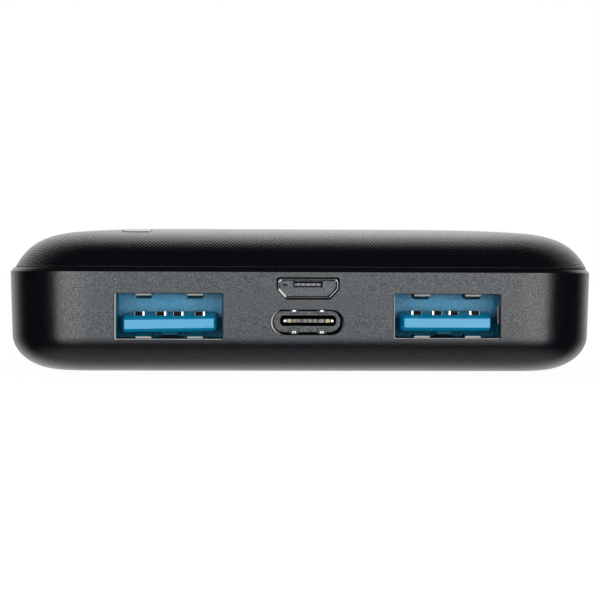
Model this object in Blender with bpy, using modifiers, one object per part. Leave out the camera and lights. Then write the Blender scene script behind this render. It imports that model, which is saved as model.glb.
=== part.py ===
"""Slab power bank: a tub-shaped lower case, a domed cover, two stacked pouch cells and a port board.

Metres, +Z up. The origin is on the table under the middle of the body. The port end looks along -Y,
+X is to the right when you face the ports.
"""

import math

import bmesh
import bpy
from mathutils import Matrix

# Body
BODY_LENGTH = 0.158
BODY_WIDTH = 0.074
CORNER_RADIUS = 0.0105
RIM_HEIGHT = 0.01246
RIM_BEVEL = 0.00042
EDGE_RUN = 0.0071
EDGE_RISE = 0.0045
SIDE_DRAFT = 0.00025
CASE_WALL = 0.0018
FLOOR_WALL = 0.0016

# Cover
PART_GAP = 0.0001
DOME_RUN = 0.0122
DOME_RISE = 0.0049
DOME_START = math.radians(6)
COVER_WALL = 0.0016
CROWN_CORNER = 0.0060
LIP_DEPTH = 0.0012
LIP_WALL = 0.0010
LIP_GAP = 0.0002

# Snap hooks on the cover's lip and their pockets in the case wall
HOOK_LENGTH = 0.0080
HOOK_HEIGHT = 0.00055
HOOK_REACH = 0.00045
HOOK_GAP = 0.00012
SIDE_HOOKS = 3
REAR_HOOKS = 2

# Gaps between pieces
SEAT_GAP = 0.0001
PORT_GAP = 0.0002
SLIDE_GAP = 0.00015

# Port board
PORT_LEVEL = 0.00688
PORT_SPACING = 0.03428
PORT_MIDDLE_X = 0.00045
PORT_RECESS = 0.0003
BOARD_THICKNESS = 0.0010
BOARD_LENGTH = 0.0260
BOARD_OVER_PORT = 0.00165
BOARD_CLEARANCE = 0.0004
BOARD_SIDE_CLEARANCE = 0.0030

# Full-size receptacle
WIDE_SOCKET_WIDTH = 0.01314
WIDE_SOCKET_HEIGHT = 0.00572
WIDE_SOCKET_LENGTH = 0.0140
WIDE_SOCKET_WALL = 0.0003
WIDE_SOCKET_TONGUE_GAP = 0.00032
WIDE_SOCKET_TONGUE_WIDTH = WIDE_SOCKET_WIDTH - 2 * (WIDE_SOCKET_WALL + WIDE_SOCKET_TONGUE_GAP)
WIDE_SOCKET_TONGUE_THICKNESS = 0.00215
WIDE_SOCKET_TONGUE_SETBACK = 0.0006
WIDE_SOCKET_UNDER_TONGUE = 0.00063
WIDE_SOCKET_BLOCK_LENGTH = 0.0084
WIDE_SOCKET_SPRING_WIDTH = 0.0019
WIDE_SOCKET_SPRING_SPREAD = 0.0063
WIDE_SOCKET_SPRING_REACH = 0.0004
WIDE_SOCKET_SPRING_LENGTH = 0.0035
CONTACT_OFFSETS = (-0.0035, -0.0010, 0.0010, 0.0035)
CONTACT_WIDTH = 0.0010
CONTACT_THICKNESS = 0.0002
CONTACT_RISE = 0.0006
CONTACT_TIP_SETBACK = 0.0016
CONTACT_NOSE = 0.0006
CONTACT_CREST = 0.0008
CONTACT_SLOPE = 0.0015

# Reversible receptacle, hung under the board
OVAL_SOCKET_WIDTH = 0.00894
OVAL_SOCKET_HEIGHT = 0.00326
OVAL_SOCKET_LENGTH = 0.0080
OVAL_SOCKET_WALL = 0.0003
OVAL_SOCKET_TONGUE_WIDTH = 0.0067
OVAL_SOCKET_TONGUE_THICKNESS = 0.0007
OVAL_SOCKET_TONGUE_SETBACK = 0.0007
OVAL_SOCKET_BLOCK_LENGTH = 0.0022

# Small receptacle, on top of the board
SMALL_SOCKET_WIDTH = 0.0076
SMALL_SOCKET_FOOT_WIDTH = 0.0054
SMALL_SOCKET_HEIGHT = 0.0026
SMALL_SOCKET_STRAIGHT = 0.0014
SMALL_SOCKET_LENGTH = 0.0058
SMALL_SOCKET_WALL = 0.00025
SMALL_SOCKET_TONGUE_WIDTH = 0.0037
SMALL_SOCKET_TONGUE_THICKNESS = 0.0006
SMALL_SOCKET_TONGUE_DROP = 0.00025
SMALL_SOCKET_TONGUE_SETBACK = 0.0006
SMALL_SOCKET_BLOCK_LENGTH = 0.0018

# Power button and its switch
BUTTON_X = -0.02095
BUTTON_SETBACK = 0.01075
BUTTON_WIDTH = 0.0035
BUTTON_LENGTH = 0.0056
BUTTON_CORNER = 0.0006
BUTTON_TRAVEL = 0.0003
BUTTON_FLANGE = 0.0009
BUTTON_FLANGE_THICKNESS = 0.0008
BUTTON_STEM_RADIUS = 0.0012
SWITCH_BEHIND_PORT = 0.0018
SWITCH_WIDTH = 0.0042
SWITCH_DEPTH = 0.0032
SWITCH_HEIGHT = 0.0020
PLUNGER_RADIUS = 0.0009
PLUNGER_RISE = 0.0006

# Charge lights
LIGHT_COUNT = 4
LIGHT_PITCH = 0.0040
LIGHT_MIDDLE_X = -0.0030
LIGHT_BEHIND_SWITCH = 0.0040
LIGHT_POST_RADIUS = 0.0009
LIGHT_BAR_WIDTH = 0.0026
LIGHT_BAR_THICKNESS = 0.0012
LED_LENGTH = 0.0016
LED_WIDTH = 0.0008
LED_HEIGHT = 0.0008

# Board components
INDUCTOR_SIDE = 0.0070
INDUCTOR_HEIGHT = 0.0040
INDUCTOR_EDGE = 0.0005
CAPACITOR_RADIUS = 0.0025
CAPACITOR_HEIGHT = 0.0054
CAPACITOR_EDGE = 0.0005
COMPONENT_MARGIN = 0.0032
COMPONENT_GAP = 0.0010
CHIP_SIDE = 0.0050
CHIP_HEIGHT = 0.0009
CHIP_X = (-0.0090, 0.0090)
THERMISTOR_LENGTH = 0.0030
THERMISTOR_SIDE = 0.0014

# Board screws and their bosses
SCREW_RADIUS = 0.0009
SCREW_HEAD_RADIUS = 0.0018
SCREW_HEAD_FLAT = 0.0013
SCREW_HEAD_HEIGHT = 0.0011
SCREW_LENGTH = 0.0052
SCREW_GAP = 0.00008
BOSS_WALL = 0.0012
SCREW_EDGE = 0.0030
SCREW_FROM_FRONT = 0.0165

# Pouch cells and what packs them
CELL_BAY_GAP = 0.0032
CELL_CLEARANCE = 0.0004
CELL_EDGE = 0.0012
CELL_TAPE = 0.0002
CELL_TAPE_MARGIN = 0.0060
LOWER_PAD = 0.0006
UPPER_PAD = 0.0006
PAD_MARGIN = 0.0050
TAB_WIDTH = 0.0040
TAB_THICKNESS = 0.00015
TAB_LAP = 0.0016
LOWER_TAB_X = (-0.0190, -0.0070)
UPPER_TAB_X = (0.0050, 0.0190)
CARD_THICKNESS = 0.0003
CARD_MARGIN = 0.0006
CARD_NOTCH_MARGIN = 0.0010

# Facets
CORNER_STEPS = 7
EDGE_STEPS = 6
ROUND_STEPS = 14
PILL_STEPS = 8
BUTTON_CORNER_STEPS = 4

# Heights and depths that follow from the sizes above
FRONT = -BODY_LENGTH / 2
RIM_TOP = RIM_HEIGHT + RIM_BEVEL
COVER_BASE = RIM_TOP + PART_GAP
BODY_HEIGHT = COVER_BASE + DOME_RISE
CEILING = BODY_HEIGHT - COVER_WALL
LIP_INSET = CASE_WALL + LIP_GAP
BOARD_MIDDLE = PORT_LEVEL + BOARD_OVER_PORT
BOARD_TOP = BOARD_MIDDLE + BOARD_THICKNESS / 2
BOARD_BOTTOM = BOARD_MIDDLE - BOARD_THICKNESS / 2
BOARD_FRONT = FRONT + CASE_WALL + SIDE_DRAFT + BOARD_CLEARANCE
BOARD_REAR = BOARD_FRONT + BOARD_LENGTH
BOARD_WIDTH = BODY_WIDTH - 2 * (CASE_WALL + BOARD_SIDE_CLEARANCE)
PORT_MOUTH = FRONT + PORT_RECESS
WIDE_SOCKET_REAR = PORT_MOUTH + WIDE_SOCKET_LENGTH
OVAL_SOCKET_LEVEL = BOARD_BOTTOM - SEAT_GAP - OVAL_SOCKET_HEIGHT / 2
SMALL_SOCKET_FOOT = BOARD_TOP + SEAT_GAP
BUTTON_Y = FRONT + BUTTON_SETBACK
SWITCH_Y = WIDE_SOCKET_REAR + SWITCH_BEHIND_PORT + SWITCH_DEPTH / 2
SWITCH_BASE = BOARD_TOP + SEAT_GAP
SWITCH_TOP = SWITCH_BASE + SWITCH_HEIGHT
LIGHT_Y = SWITCH_Y + LIGHT_BEHIND_SWITCH
COMPONENT_Y = BOARD_REAR - TAB_LAP - COMPONENT_MARGIN
SCREW_X = BOARD_WIDTH / 2 - SCREW_EDGE
SCREW_Y = BOARD_FRONT + SCREW_FROM_FRONT
CELL_FRONT = BOARD_REAR + CELL_BAY_GAP
LOWER_CELL_BASE = FLOOR_WALL + LOWER_PAD + 2 * SEAT_GAP
UPPER_CELL_TOP = CEILING - UPPER_PAD - 2 * SEAT_GAP
CELL_THICKNESS = (UPPER_CELL_TOP - LOWER_CELL_BASE - CELL_TAPE - 2 * SEAT_GAP) / 2
UPPER_CELL_BASE = UPPER_CELL_TOP - CELL_THICKNESS


def clear_scene():
    for obj in list(bpy.data.objects):
        bpy.data.objects.remove(obj)


def collection(name):
    made = bpy.data.collections.new(name)
    bpy.context.scene.collection.children.link(made)
    return made


def material(name, colour, roughness, metallic=0.0):
    made = bpy.data.materials.new(name)
    made.use_nodes = True
    shader = made.node_tree.nodes["Principled BSDF"]
    shader.inputs["Base Color"].default_value = (*colour, 1.0)
    shader.inputs["Roughness"].default_value = roughness
    shader.inputs["Metallic"].default_value = metallic
    made.diffuse_color = (*colour, 1.0)
    return made


def place(name, shape, look, group):
    """Makes the object of a bmesh and links it to a collection."""
    bmesh.ops.recalc_face_normals(shape, faces=shape.faces)
    mesh = bpy.data.meshes.new(name)
    shape.to_mesh(mesh)
    shape.free()
    obj = bpy.data.objects.new(name, mesh)
    group.objects.link(obj)
    if look:
        mesh.materials.append(look)
    return obj


def solid(name, shape, look):
    return place(name, shape, look, PARTS)


def helper(name, shape):
    """A hidden operand of a Boolean."""
    obj = place(name, shape, None, CUTTERS)
    obj.hide_render = True
    obj.display_type = "WIRE"
    return obj


def boolean(target, operand, operation):
    modifier = target.modifiers.new(operand.name, "BOOLEAN")
    modifier.operation = operation
    modifier.object = operand


def bevel(obj, width, segments=2):
    modifier = obj.modifiers.new("edges", "BEVEL")
    modifier.width = width
    modifier.segments = segments
    modifier.limit_method = "ANGLE"


def smooth(obj):
    obj.data.shade_smooth()
    obj.data.set_sharp_from_angle(angle=math.radians(35))


def put_origin(obj, point):
    """Moves an object's origin onto its joint's axis and leaves its shape where it is."""
    obj.data.transform(Matrix.Translation(point).inverted())
    obj.location = point


def add_box(shape, low, high):
    """A box between two opposite corners."""
    size = [h - l for l, h in zip(low, high)]
    middle = [(l + h) / 2 for l, h in zip(low, high)]
    scale = Matrix.Diagonal((*size, 1.0))
    bmesh.ops.create_cube(shape, size=1.0, matrix=Matrix.Translation(middle) @ scale)


def add_cylinder(shape, x, y, radius, low, high, steps=ROUND_STEPS):
    """An upright cylinder from height low to height high."""
    bmesh.ops.create_cone(
        shape,
        cap_ends=True,
        segments=steps,
        radius1=radius,
        radius2=radius,
        depth=high - low,
        matrix=Matrix.Translation((x, y, (low + high) / 2)),
    )


def add_prism(shape, outline, offset):
    """A flat outline of 3-D points, extruded by a vector."""
    face = shape.faces.new([shape.verts.new(point) for point in outline])
    extruded = bmesh.ops.extrude_face_region(shape, geom=[face])["geom"]
    moved = [item for item in extruded if isinstance(item, bmesh.types.BMVert)]
    bmesh.ops.translate(shape, vec=offset, verts=moved)


def box(name, low, high, look):
    shape = bmesh.new()
    add_box(shape, low, high)
    return solid(name, shape, look)


def button_outline(grow, z):
    """The button's rounded rectangle in plan, grown all round, at height z."""
    radius = BUTTON_CORNER + grow
    half_x = BUTTON_WIDTH / 2 - BUTTON_CORNER
    half_y = BUTTON_LENGTH / 2 - BUTTON_CORNER
    points = []
    for quarter, (sx, sy) in enumerate(((1, 1), (-1, 1), (-1, -1), (1, -1))):
        for step in range(BUTTON_CORNER_STEPS + 1):
            angle = math.pi / 2 * (quarter + step / BUTTON_CORNER_STEPS)
            x = BUTTON_X + sx * half_x + radius * math.cos(angle)
            y = BUTTON_Y + sy * half_y + radius * math.sin(angle)
            points.append((x, y, z))
    return points


def rounded_ring(inset, radius, z):
    """The body's plan outline moved in by inset, anticlockwise, at height z."""
    half_x = BODY_WIDTH / 2 - inset - radius
    half_y = BODY_LENGTH / 2 - inset - radius
    points = []
    for corner, (side_x, side_y) in enumerate(((1, 1), (-1, 1), (-1, -1), (1, -1))):
        for step in range(CORNER_STEPS + 1):
            angle = math.pi / 2 * (corner + step / CORNER_STEPS)
            x = side_x * half_x + radius * math.cos(angle)
            y = side_y * half_y + radius * math.sin(angle)
            points.append((x, y, z))
    return points


def loft(rings):
    """A closed skin through rings of equal count, with the first and last ring capped."""
    shape = bmesh.new()
    loops = [[shape.verts.new(point) for point in ring] for ring in rings]
    for near, far in zip(loops, loops[1:]):
        for i in range(len(near)):
            shape.faces.new((near[i - 1], near[i], far[i], far[i - 1]))
    for end in (loops[0], loops[-1]):
        shape.faces.new(end)
    return shape


def case_corner(inset):
    return max(CORNER_RADIUS - inset, CASE_WALL)


def cover_corner(run):
    """Plan corner radius of the dome, easing from the case's corner to the crown's."""
    start = CORNER_RADIUS - RIM_BEVEL
    return start + (CROWN_CORNER - start) * run / DOME_RUN


def case_floor_inset(z):
    """How far the case's inner skin stands in from the body's outline at height z."""
    rise = EDGE_RISE - FLOOR_WALL
    height = min(max((z - FLOOR_WALL) / rise, 0.0), 1.0)
    run = EDGE_RUN - CASE_WALL
    return CASE_WALL + SIDE_DRAFT + run * (1 - math.sqrt(1 - (1 - height) ** 2))


def dome_arc(share):
    """Run and rise of the dome's elliptical flank, each from 0 at its base to 1 at the crown."""
    angle = DOME_START + (math.pi / 2 - DOME_START) * share
    run = 1 - math.cos(angle) / math.cos(DOME_START)
    rise = (math.sin(angle) - math.sin(DOME_START)) / (1 - math.sin(DOME_START))
    return run, rise


def cover_inner_run():
    return RIM_BEVEL + DOME_RUN - LIP_INSET - LIP_WALL


def cover_inner_corner(run):
    """Plan corner radius of the cover's inner skin, at a share of its run from the lip to the crown."""
    start = case_corner(LIP_INSET + LIP_WALL)
    return start + (CROWN_CORNER - start) * run


def cover_inner_room(z):
    """How far a square corner must stand in from the body's outline to clear the dome at height z."""
    rise = min(max((z - COVER_BASE) / (CEILING - COVER_BASE), 0.0), 1.0)
    angle = math.asin(rise * (1 - math.sin(DOME_START)) + math.sin(DOME_START))
    run = 1 - math.cos(angle) / math.cos(DOME_START)
    corner = cover_inner_corner(run) * (1 - math.sqrt(0.5))
    return LIP_INSET + LIP_WALL + cover_inner_run() * run + corner


def dome_rings():
    """Rings of the dome's outer skin, from its base edge to the crown."""
    rings = []
    for step in range(EDGE_STEPS + 1):
        run, rise = dome_arc(step / EDGE_STEPS)
        inset = RIM_BEVEL + DOME_RUN * run
        rings.append(rounded_ring(inset, cover_corner(DOME_RUN * run), COVER_BASE + DOME_RISE * rise))
    return rings


def case_rings():
    """Rings of the tub: up the outside from the floor, over the rim, and down the inside."""
    rings = []
    for step in range(EDGE_STEPS + 1):
        angle = math.pi / 2 * step / EDGE_STEPS
        inset = SIDE_DRAFT + EDGE_RUN * (1 - math.sin(angle))
        rings.append(rounded_ring(inset, case_corner(inset), EDGE_RISE * (1 - math.cos(angle))))
    rings.append(rounded_ring(0.0, CORNER_RADIUS, RIM_HEIGHT))
    rings.append(rounded_ring(RIM_BEVEL, case_corner(RIM_BEVEL), RIM_TOP))
    rings.append(rounded_ring(CASE_WALL, case_corner(CASE_WALL), RIM_TOP))
    for step in range(EDGE_STEPS + 1):
        angle = math.pi / 2 * step / EDGE_STEPS
        z = EDGE_RISE - (EDGE_RISE - FLOOR_WALL) * math.sin(angle)
        inset = case_floor_inset(z)
        rings.append(rounded_ring(inset, case_corner(inset), z))
    return rings


def cover_rings():
    """Rings of the cover: down the dome, in under its edge, down the lip, and up the inside."""
    rings = dome_rings()[::-1]
    lip_foot = COVER_BASE - LIP_DEPTH
    lip_inner = LIP_INSET + LIP_WALL
    rings.append(rounded_ring(LIP_INSET, case_corner(LIP_INSET), COVER_BASE))
    rings.append(rounded_ring(LIP_INSET, case_corner(LIP_INSET), lip_foot))
    rings.append(rounded_ring(lip_inner, case_corner(lip_inner), lip_foot))
    for step in range(EDGE_STEPS + 1):
        run, rise = dome_arc(step / EDGE_STEPS)
        z = COVER_BASE + (CEILING - COVER_BASE) * rise
        rings.append(rounded_ring(lip_inner + cover_inner_run() * run, cover_inner_corner(run), z))
    return rings


def hook_places():
    """Middle and half sizes, in plan, of each snap hook's seat on the lip's outer face."""
    places = []
    straight = BODY_LENGTH / 2 - 2 * CORNER_RADIUS
    for i in range(SIDE_HOOKS):
        y = straight * (2 * i / (SIDE_HOOKS - 1) - 1)
        for side in (-1, 1):
            places.append((side * (BODY_WIDTH / 2 - LIP_INSET), y, True))
    for i in range(REAR_HOOKS):
        x = (BODY_WIDTH / 2 - 2 * CORNER_RADIUS) * (2 * i / (REAR_HOOKS - 1) - 1)
        places.append((x, BODY_LENGTH / 2 - LIP_INSET, False))
    return places


def add_hooks(shape, grow):
    """Snap hooks on the lip, or their pockets when grown by a gap."""
    low = COVER_BASE - LIP_DEPTH - grow
    high = COVER_BASE - LIP_DEPTH + HOOK_HEIGHT + grow
    reach = HOOK_REACH + grow
    half = HOOK_LENGTH / 2 + grow
    root = LIP_WALL / 2
    for x, y, on_side in hook_places():
        if on_side:
            ends = sorted((x + math.copysign(reach, x), x - math.copysign(root, x)))
            add_box(shape, (ends[0], y - half, low), (ends[1], y + half, high))
        else:
            add_box(shape, (x - half, y - root, low), (x + half, y + reach, high))


def wide_socket_outline(grow, x, y):
    """Corners of a full-size receptacle's face, grown all round."""
    half_x = WIDE_SOCKET_WIDTH / 2 + grow
    half_z = WIDE_SOCKET_HEIGHT / 2 + grow
    corners = ((-1, -1), (1, -1), (1, 1), (-1, 1))
    return [(x + sx * half_x, y, PORT_LEVEL + sz * half_z) for sx, sz in corners]


def oval_socket_outline(grow, y):
    """A slot with half-round ends, grown all round."""
    radius = OVAL_SOCKET_HEIGHT / 2 + grow
    half = OVAL_SOCKET_WIDTH / 2 + grow - radius
    points = []
    for end, start in ((1, -math.pi / 2), (-1, math.pi / 2)):
        for step in range(PILL_STEPS + 1):
            angle = start + math.pi * step / PILL_STEPS
            x = PORT_MIDDLE_X + end * half + radius * math.cos(angle)
            points.append((x, y, OVAL_SOCKET_LEVEL + radius * math.sin(angle)))
    return points


def small_socket_outline(grow, y):
    """A six-sided face, wide at the top, with its lower corners cut away, grown all round."""
    cut_rise = SMALL_SOCKET_HEIGHT - SMALL_SOCKET_STRAIGHT
    cut_run = (SMALL_SOCKET_WIDTH - SMALL_SOCKET_FOOT_WIDTH) / 2
    slack = grow * (math.hypot(cut_rise, cut_run) - cut_run) / cut_rise
    half_top = SMALL_SOCKET_WIDTH / 2 + grow
    half_foot = SMALL_SOCKET_FOOT_WIDTH / 2 + slack
    foot = SMALL_SOCKET_FOOT - grow
    shoulder = SMALL_SOCKET_FOOT + cut_rise
    top = SMALL_SOCKET_FOOT + SMALL_SOCKET_HEIGHT + grow
    half = [(half_foot, foot), (half_top, shoulder), (half_top, top)]
    right = [(PORT_MIDDLE_X + x, y, z) for x, z in half]
    left = [(PORT_MIDDLE_X - x, y, z) for x, z in reversed(half)]
    return right + left


def port_sides():
    return (("left", PORT_MIDDLE_X - PORT_SPACING / 2), ("right", PORT_MIDDLE_X + PORT_SPACING / 2))


def add_port_openings(shape):
    """Prisms that cut each receptacle's opening through the front wall."""
    start = FRONT - CASE_WALL
    depth = (0.0, 3 * CASE_WALL, 0.0)
    for _, x in port_sides():
        add_prism(shape, wide_socket_outline(PORT_GAP, x, start), depth)
    add_prism(shape, oval_socket_outline(PORT_GAP, start), depth)
    add_prism(shape, small_socket_outline(PORT_GAP, start), depth)


def make_lower_case(look):
    case = solid("lower_case", loft(case_rings()), look)
    bosses = bmesh.new()
    pilots = bmesh.new()
    for side in (-1, 1):
        x = side * SCREW_X
        boss_radius = SCREW_RADIUS + SCREW_GAP + BOSS_WALL
        add_cylinder(bosses, x, SCREW_Y, boss_radius, FLOOR_WALL / 2, BOARD_BOTTOM - SEAT_GAP)
        pilot_foot = BOARD_TOP - SCREW_LENGTH - SEAT_GAP
        add_cylinder(pilots, x, SCREW_Y, SCREW_RADIUS + SCREW_GAP, pilot_foot, BOARD_TOP)
    boolean(case, helper("case_bosses", bosses), "UNION")
    add_port_openings(pilots)
    add_hooks(pilots, HOOK_GAP)
    boolean(case, helper("case_openings", pilots), "DIFFERENCE")
    return case


def light_places():
    first = LIGHT_MIDDLE_X - LIGHT_PITCH * (LIGHT_COUNT - 1) / 2
    return [first + LIGHT_PITCH * i for i in range(LIGHT_COUNT)]


def make_top_cover(look):
    cover = solid("top_cover", loft(cover_rings()), look)
    hooks = bmesh.new()
    add_hooks(hooks, 0.0)
    boolean(cover, helper("cover_hooks", hooks), "UNION")
    openings = bmesh.new()
    low = COVER_BASE
    through = (0.0, 0.0, 2 * DOME_RISE)
    add_prism(openings, button_outline(SLIDE_GAP, low), through)
    for x in light_places():
        add_cylinder(openings, x, LIGHT_Y, LIGHT_POST_RADIUS + SLIDE_GAP, low, low + 2 * DOME_RISE)
    boolean(cover, helper("cover_openings", openings), "DIFFERENCE")
    return cover


def flange_top():
    """Underside of the cover over the button's front end, less the sliding gap."""
    depth = BUTTON_SETBACK - BUTTON_LENGTH / 2 - BUTTON_FLANGE - LIP_INSET - LIP_WALL
    run = min(depth / cover_inner_run(), 1.0)
    cosine = (1 - run) * math.cos(DOME_START)
    rise = (math.sqrt(1 - cosine**2) - math.sin(DOME_START)) / (1 - math.sin(DOME_START))
    return COVER_BASE + (CEILING - COVER_BASE) * rise - SLIDE_GAP


def make_button(look):
    """A rounded head trimmed to the dome, on a flange whose arm carries the stem to the switch."""
    shape = bmesh.new()
    top = flange_top()
    root = top - BUTTON_FLANGE_THICKNESS / 2
    add_prism(shape, button_outline(0.0, root), (0.0, 0.0, DOME_RISE))
    button = solid("button_cap", shape, look)
    boolean(button, helper("dome_envelope", loft(dome_rings())), "INTERSECT")
    under = bmesh.new()
    half = BUTTON_WIDTH / 2 + BUTTON_FLANGE
    front = BUTTON_Y - BUTTON_LENGTH / 2 - BUTTON_FLANGE
    rear = SWITCH_Y + BUTTON_STEM_RADIUS + BUTTON_FLANGE
    foot = top - BUTTON_FLANGE_THICKNESS
    add_box(under, (BUTTON_X - half, front, foot), (BUTTON_X + half, rear, top))
    boolean(button, helper("button_flange", under), "UNION")
    stem = bmesh.new()
    stem_foot = SWITCH_TOP + PLUNGER_RISE + SEAT_GAP
    add_cylinder(stem, BUTTON_X, SWITCH_Y, BUTTON_STEM_RADIUS, stem_foot, root)
    boolean(button, helper("button_stem", stem), "UNION")
    put_origin(button, (BUTTON_X, BUTTON_Y, top))


def make_switch(body_look, plunger_look):
    half_x = SWITCH_WIDTH / 2
    half_y = SWITCH_DEPTH / 2
    low = (BUTTON_X - half_x, SWITCH_Y - half_y, SWITCH_BASE)
    high = (BUTTON_X + half_x, SWITCH_Y + half_y, SWITCH_TOP)
    body = box("switch_body", low, high, body_look)
    well = bmesh.new()
    well_foot = SWITCH_TOP - SWITCH_HEIGHT / 2 - BUTTON_TRAVEL - SEAT_GAP
    add_cylinder(well, BUTTON_X, SWITCH_Y, PLUNGER_RADIUS + SEAT_GAP, well_foot, SWITCH_TOP + PLUNGER_RISE)
    boolean(body, helper("switch_well", well), "DIFFERENCE")
    plunger = bmesh.new()
    foot = SWITCH_TOP - SWITCH_HEIGHT / 2
    add_cylinder(plunger, BUTTON_X, SWITCH_Y, PLUNGER_RADIUS, foot, SWITCH_TOP + PLUNGER_RISE)
    moving = solid("switch_plunger", plunger, plunger_look)
    put_origin(moving, (BUTTON_X, SWITCH_Y, SWITCH_TOP))
    smooth(moving)


def make_lights(led_look, guide_look):
    """One light-emitting chip under each post of a comb-shaped light guide."""
    led_base = BOARD_TOP + SEAT_GAP
    for number, x in enumerate(light_places(), 1):
        low = (x - LED_LENGTH / 2, LIGHT_Y - LED_WIDTH / 2, led_base)
        high = (x + LED_LENGTH / 2, LIGHT_Y + LED_WIDTH / 2, led_base + LED_HEIGHT)
        box(f"led_{number}", low, high, led_look)
    bar_foot = led_base + LED_HEIGHT + SEAT_GAP
    bar_top = bar_foot + LIGHT_BAR_THICKNESS
    ends = light_places()
    half = LIGHT_BAR_WIDTH / 2
    low = (ends[0] - half, LIGHT_Y - half, bar_foot)
    high = (ends[-1] + half, LIGHT_Y + half, bar_top)
    guide = box("light_guide", low, high, guide_look)
    posts = bmesh.new()
    for x in ends:
        add_cylinder(posts, x, LIGHT_Y, LIGHT_POST_RADIUS, bar_top - LIGHT_BAR_THICKNESS / 2, BODY_HEIGHT)
    boolean(guide, helper("light_posts", posts), "UNION")


def make_board(look):
    low = (-BOARD_WIDTH / 2, BOARD_FRONT, BOARD_BOTTOM)
    high = (BOARD_WIDTH / 2, BOARD_REAR, BOARD_TOP)
    board = box("main_board", low, high, look)
    room = bmesh.new()
    inset = CASE_WALL + SIDE_DRAFT + BOARD_CLEARANCE
    outline = rounded_ring(inset, case_corner(inset), BOARD_BOTTOM - BOARD_THICKNESS)
    add_prism(room, outline, (0.0, 0.0, 3 * BOARD_THICKNESS))
    boolean(board, helper("board_room", room), "INTERSECT")
    cuts = bmesh.new()
    half = WIDE_SOCKET_WIDTH / 2 + PORT_GAP
    for _, x in port_sides():
        add_box(
            cuts,
            (x - half, BOARD_FRONT - BOARD_LENGTH, BOARD_BOTTOM - BOARD_THICKNESS),
            (x + half, WIDE_SOCKET_REAR + PORT_GAP, BOARD_TOP + BOARD_THICKNESS),
        )
    for side in (-1, 1):
        low_z = BOARD_BOTTOM - BOARD_THICKNESS
        high_z = BOARD_TOP + BOARD_THICKNESS
        add_cylinder(cuts, side * SCREW_X, SCREW_Y, SCREW_RADIUS + SCREW_GAP, low_z, high_z)
    boolean(board, helper("board_cuts", cuts), "DIFFERENCE")


def make_wide_socket(side, x, shell_look, tongue_look, contact_look):
    """A stamped shell with four plug springs, its insulator with the tongue, and four contacts."""
    half_x = WIDE_SOCKET_WIDTH / 2
    foot = PORT_LEVEL - WIDE_SOCKET_HEIGHT / 2
    top = PORT_LEVEL + WIDE_SOCKET_HEIGHT / 2
    shell = box(
        f"wide_socket_{side}_shell",
        (x - half_x, PORT_MOUTH, foot),
        (x + half_x, WIDE_SOCKET_REAR, top),
        shell_look,
    )
    hollow = bmesh.new()
    inner = half_x - WIDE_SOCKET_WALL
    add_box(
        hollow,
        (x - inner, PORT_MOUTH - WIDE_SOCKET_LENGTH, foot + WIDE_SOCKET_WALL),
        (x + inner, WIDE_SOCKET_REAR - WIDE_SOCKET_WALL, top - WIDE_SOCKET_WALL),
    )
    boolean(shell, helper(f"wide_socket_{side}_hollow", hollow), "DIFFERENCE")
    springs = bmesh.new()
    for spring_x in (x - WIDE_SOCKET_SPRING_SPREAD / 2, x + WIDE_SOCKET_SPRING_SPREAD / 2):
        for wall, inward in ((foot, 1), (top, -1)):
            root = wall + inward * WIDE_SOCKET_WALL / 2
            tip = wall + inward * (WIDE_SOCKET_WALL + WIDE_SOCKET_SPRING_REACH)
            low_z, high_z = sorted((root, tip))
            add_box(
                springs,
                (spring_x - WIDE_SOCKET_SPRING_WIDTH / 2, PORT_MOUTH + WIDE_SOCKET_TONGUE_SETBACK, low_z),
                (
                    spring_x + WIDE_SOCKET_SPRING_WIDTH / 2,
                    PORT_MOUTH + WIDE_SOCKET_TONGUE_SETBACK + WIDE_SOCKET_SPRING_LENGTH,
                    high_z,
                ),
            )
    boolean(shell, helper(f"wide_socket_{side}_springs", springs), "UNION")

    block_x = inner - SEAT_GAP
    block_rear = WIDE_SOCKET_REAR - WIDE_SOCKET_WALL - SEAT_GAP
    block_front = block_rear - WIDE_SOCKET_BLOCK_LENGTH
    insulator = box(
        f"wide_socket_{side}_tongue",
        (x - block_x, block_front, foot + WIDE_SOCKET_WALL + SEAT_GAP),
        (x + block_x, block_rear, top - WIDE_SOCKET_WALL - SEAT_GAP),
        tongue_look,
    )
    tongue = bmesh.new()
    tongue_foot = foot + WIDE_SOCKET_WALL + WIDE_SOCKET_UNDER_TONGUE
    tongue_top = tongue_foot + WIDE_SOCKET_TONGUE_THICKNESS
    half_tongue = WIDE_SOCKET_TONGUE_WIDTH / 2
    add_box(
        tongue,
        (x - half_tongue, PORT_MOUTH + WIDE_SOCKET_TONGUE_SETBACK, tongue_foot),
        (x + half_tongue, block_front + WIDE_SOCKET_BLOCK_LENGTH / 2, tongue_top),
    )
    boolean(insulator, helper(f"wide_socket_{side}_tongue_bar", tongue), "UNION")
    for number, offset in enumerate(CONTACT_OFFSETS, 1):
        rear = block_front - SEAT_GAP
        make_contact(f"wide_socket_{side}_contact_{number}", x + offset, rear, tongue_top, contact_look)


def make_contact(name, x, rear, seat, look):
    """A sprung contact blade: flat on the tongue, with a raised crest near its tip."""
    level = seat + SEAT_GAP + CONTACT_THICKNESS / 2
    tip = PORT_MOUTH + CONTACT_TIP_SETBACK
    crest = level + CONTACT_RISE
    profile = [
        (tip, level),
        (tip + CONTACT_NOSE, crest),
        (tip + CONTACT_NOSE + CONTACT_CREST, crest),
        (tip + CONTACT_NOSE + CONTACT_CREST + CONTACT_SLOPE, level),
        (rear, level),
    ]
    strip(name, x, CONTACT_WIDTH, CONTACT_THICKNESS, profile, look)


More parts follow.
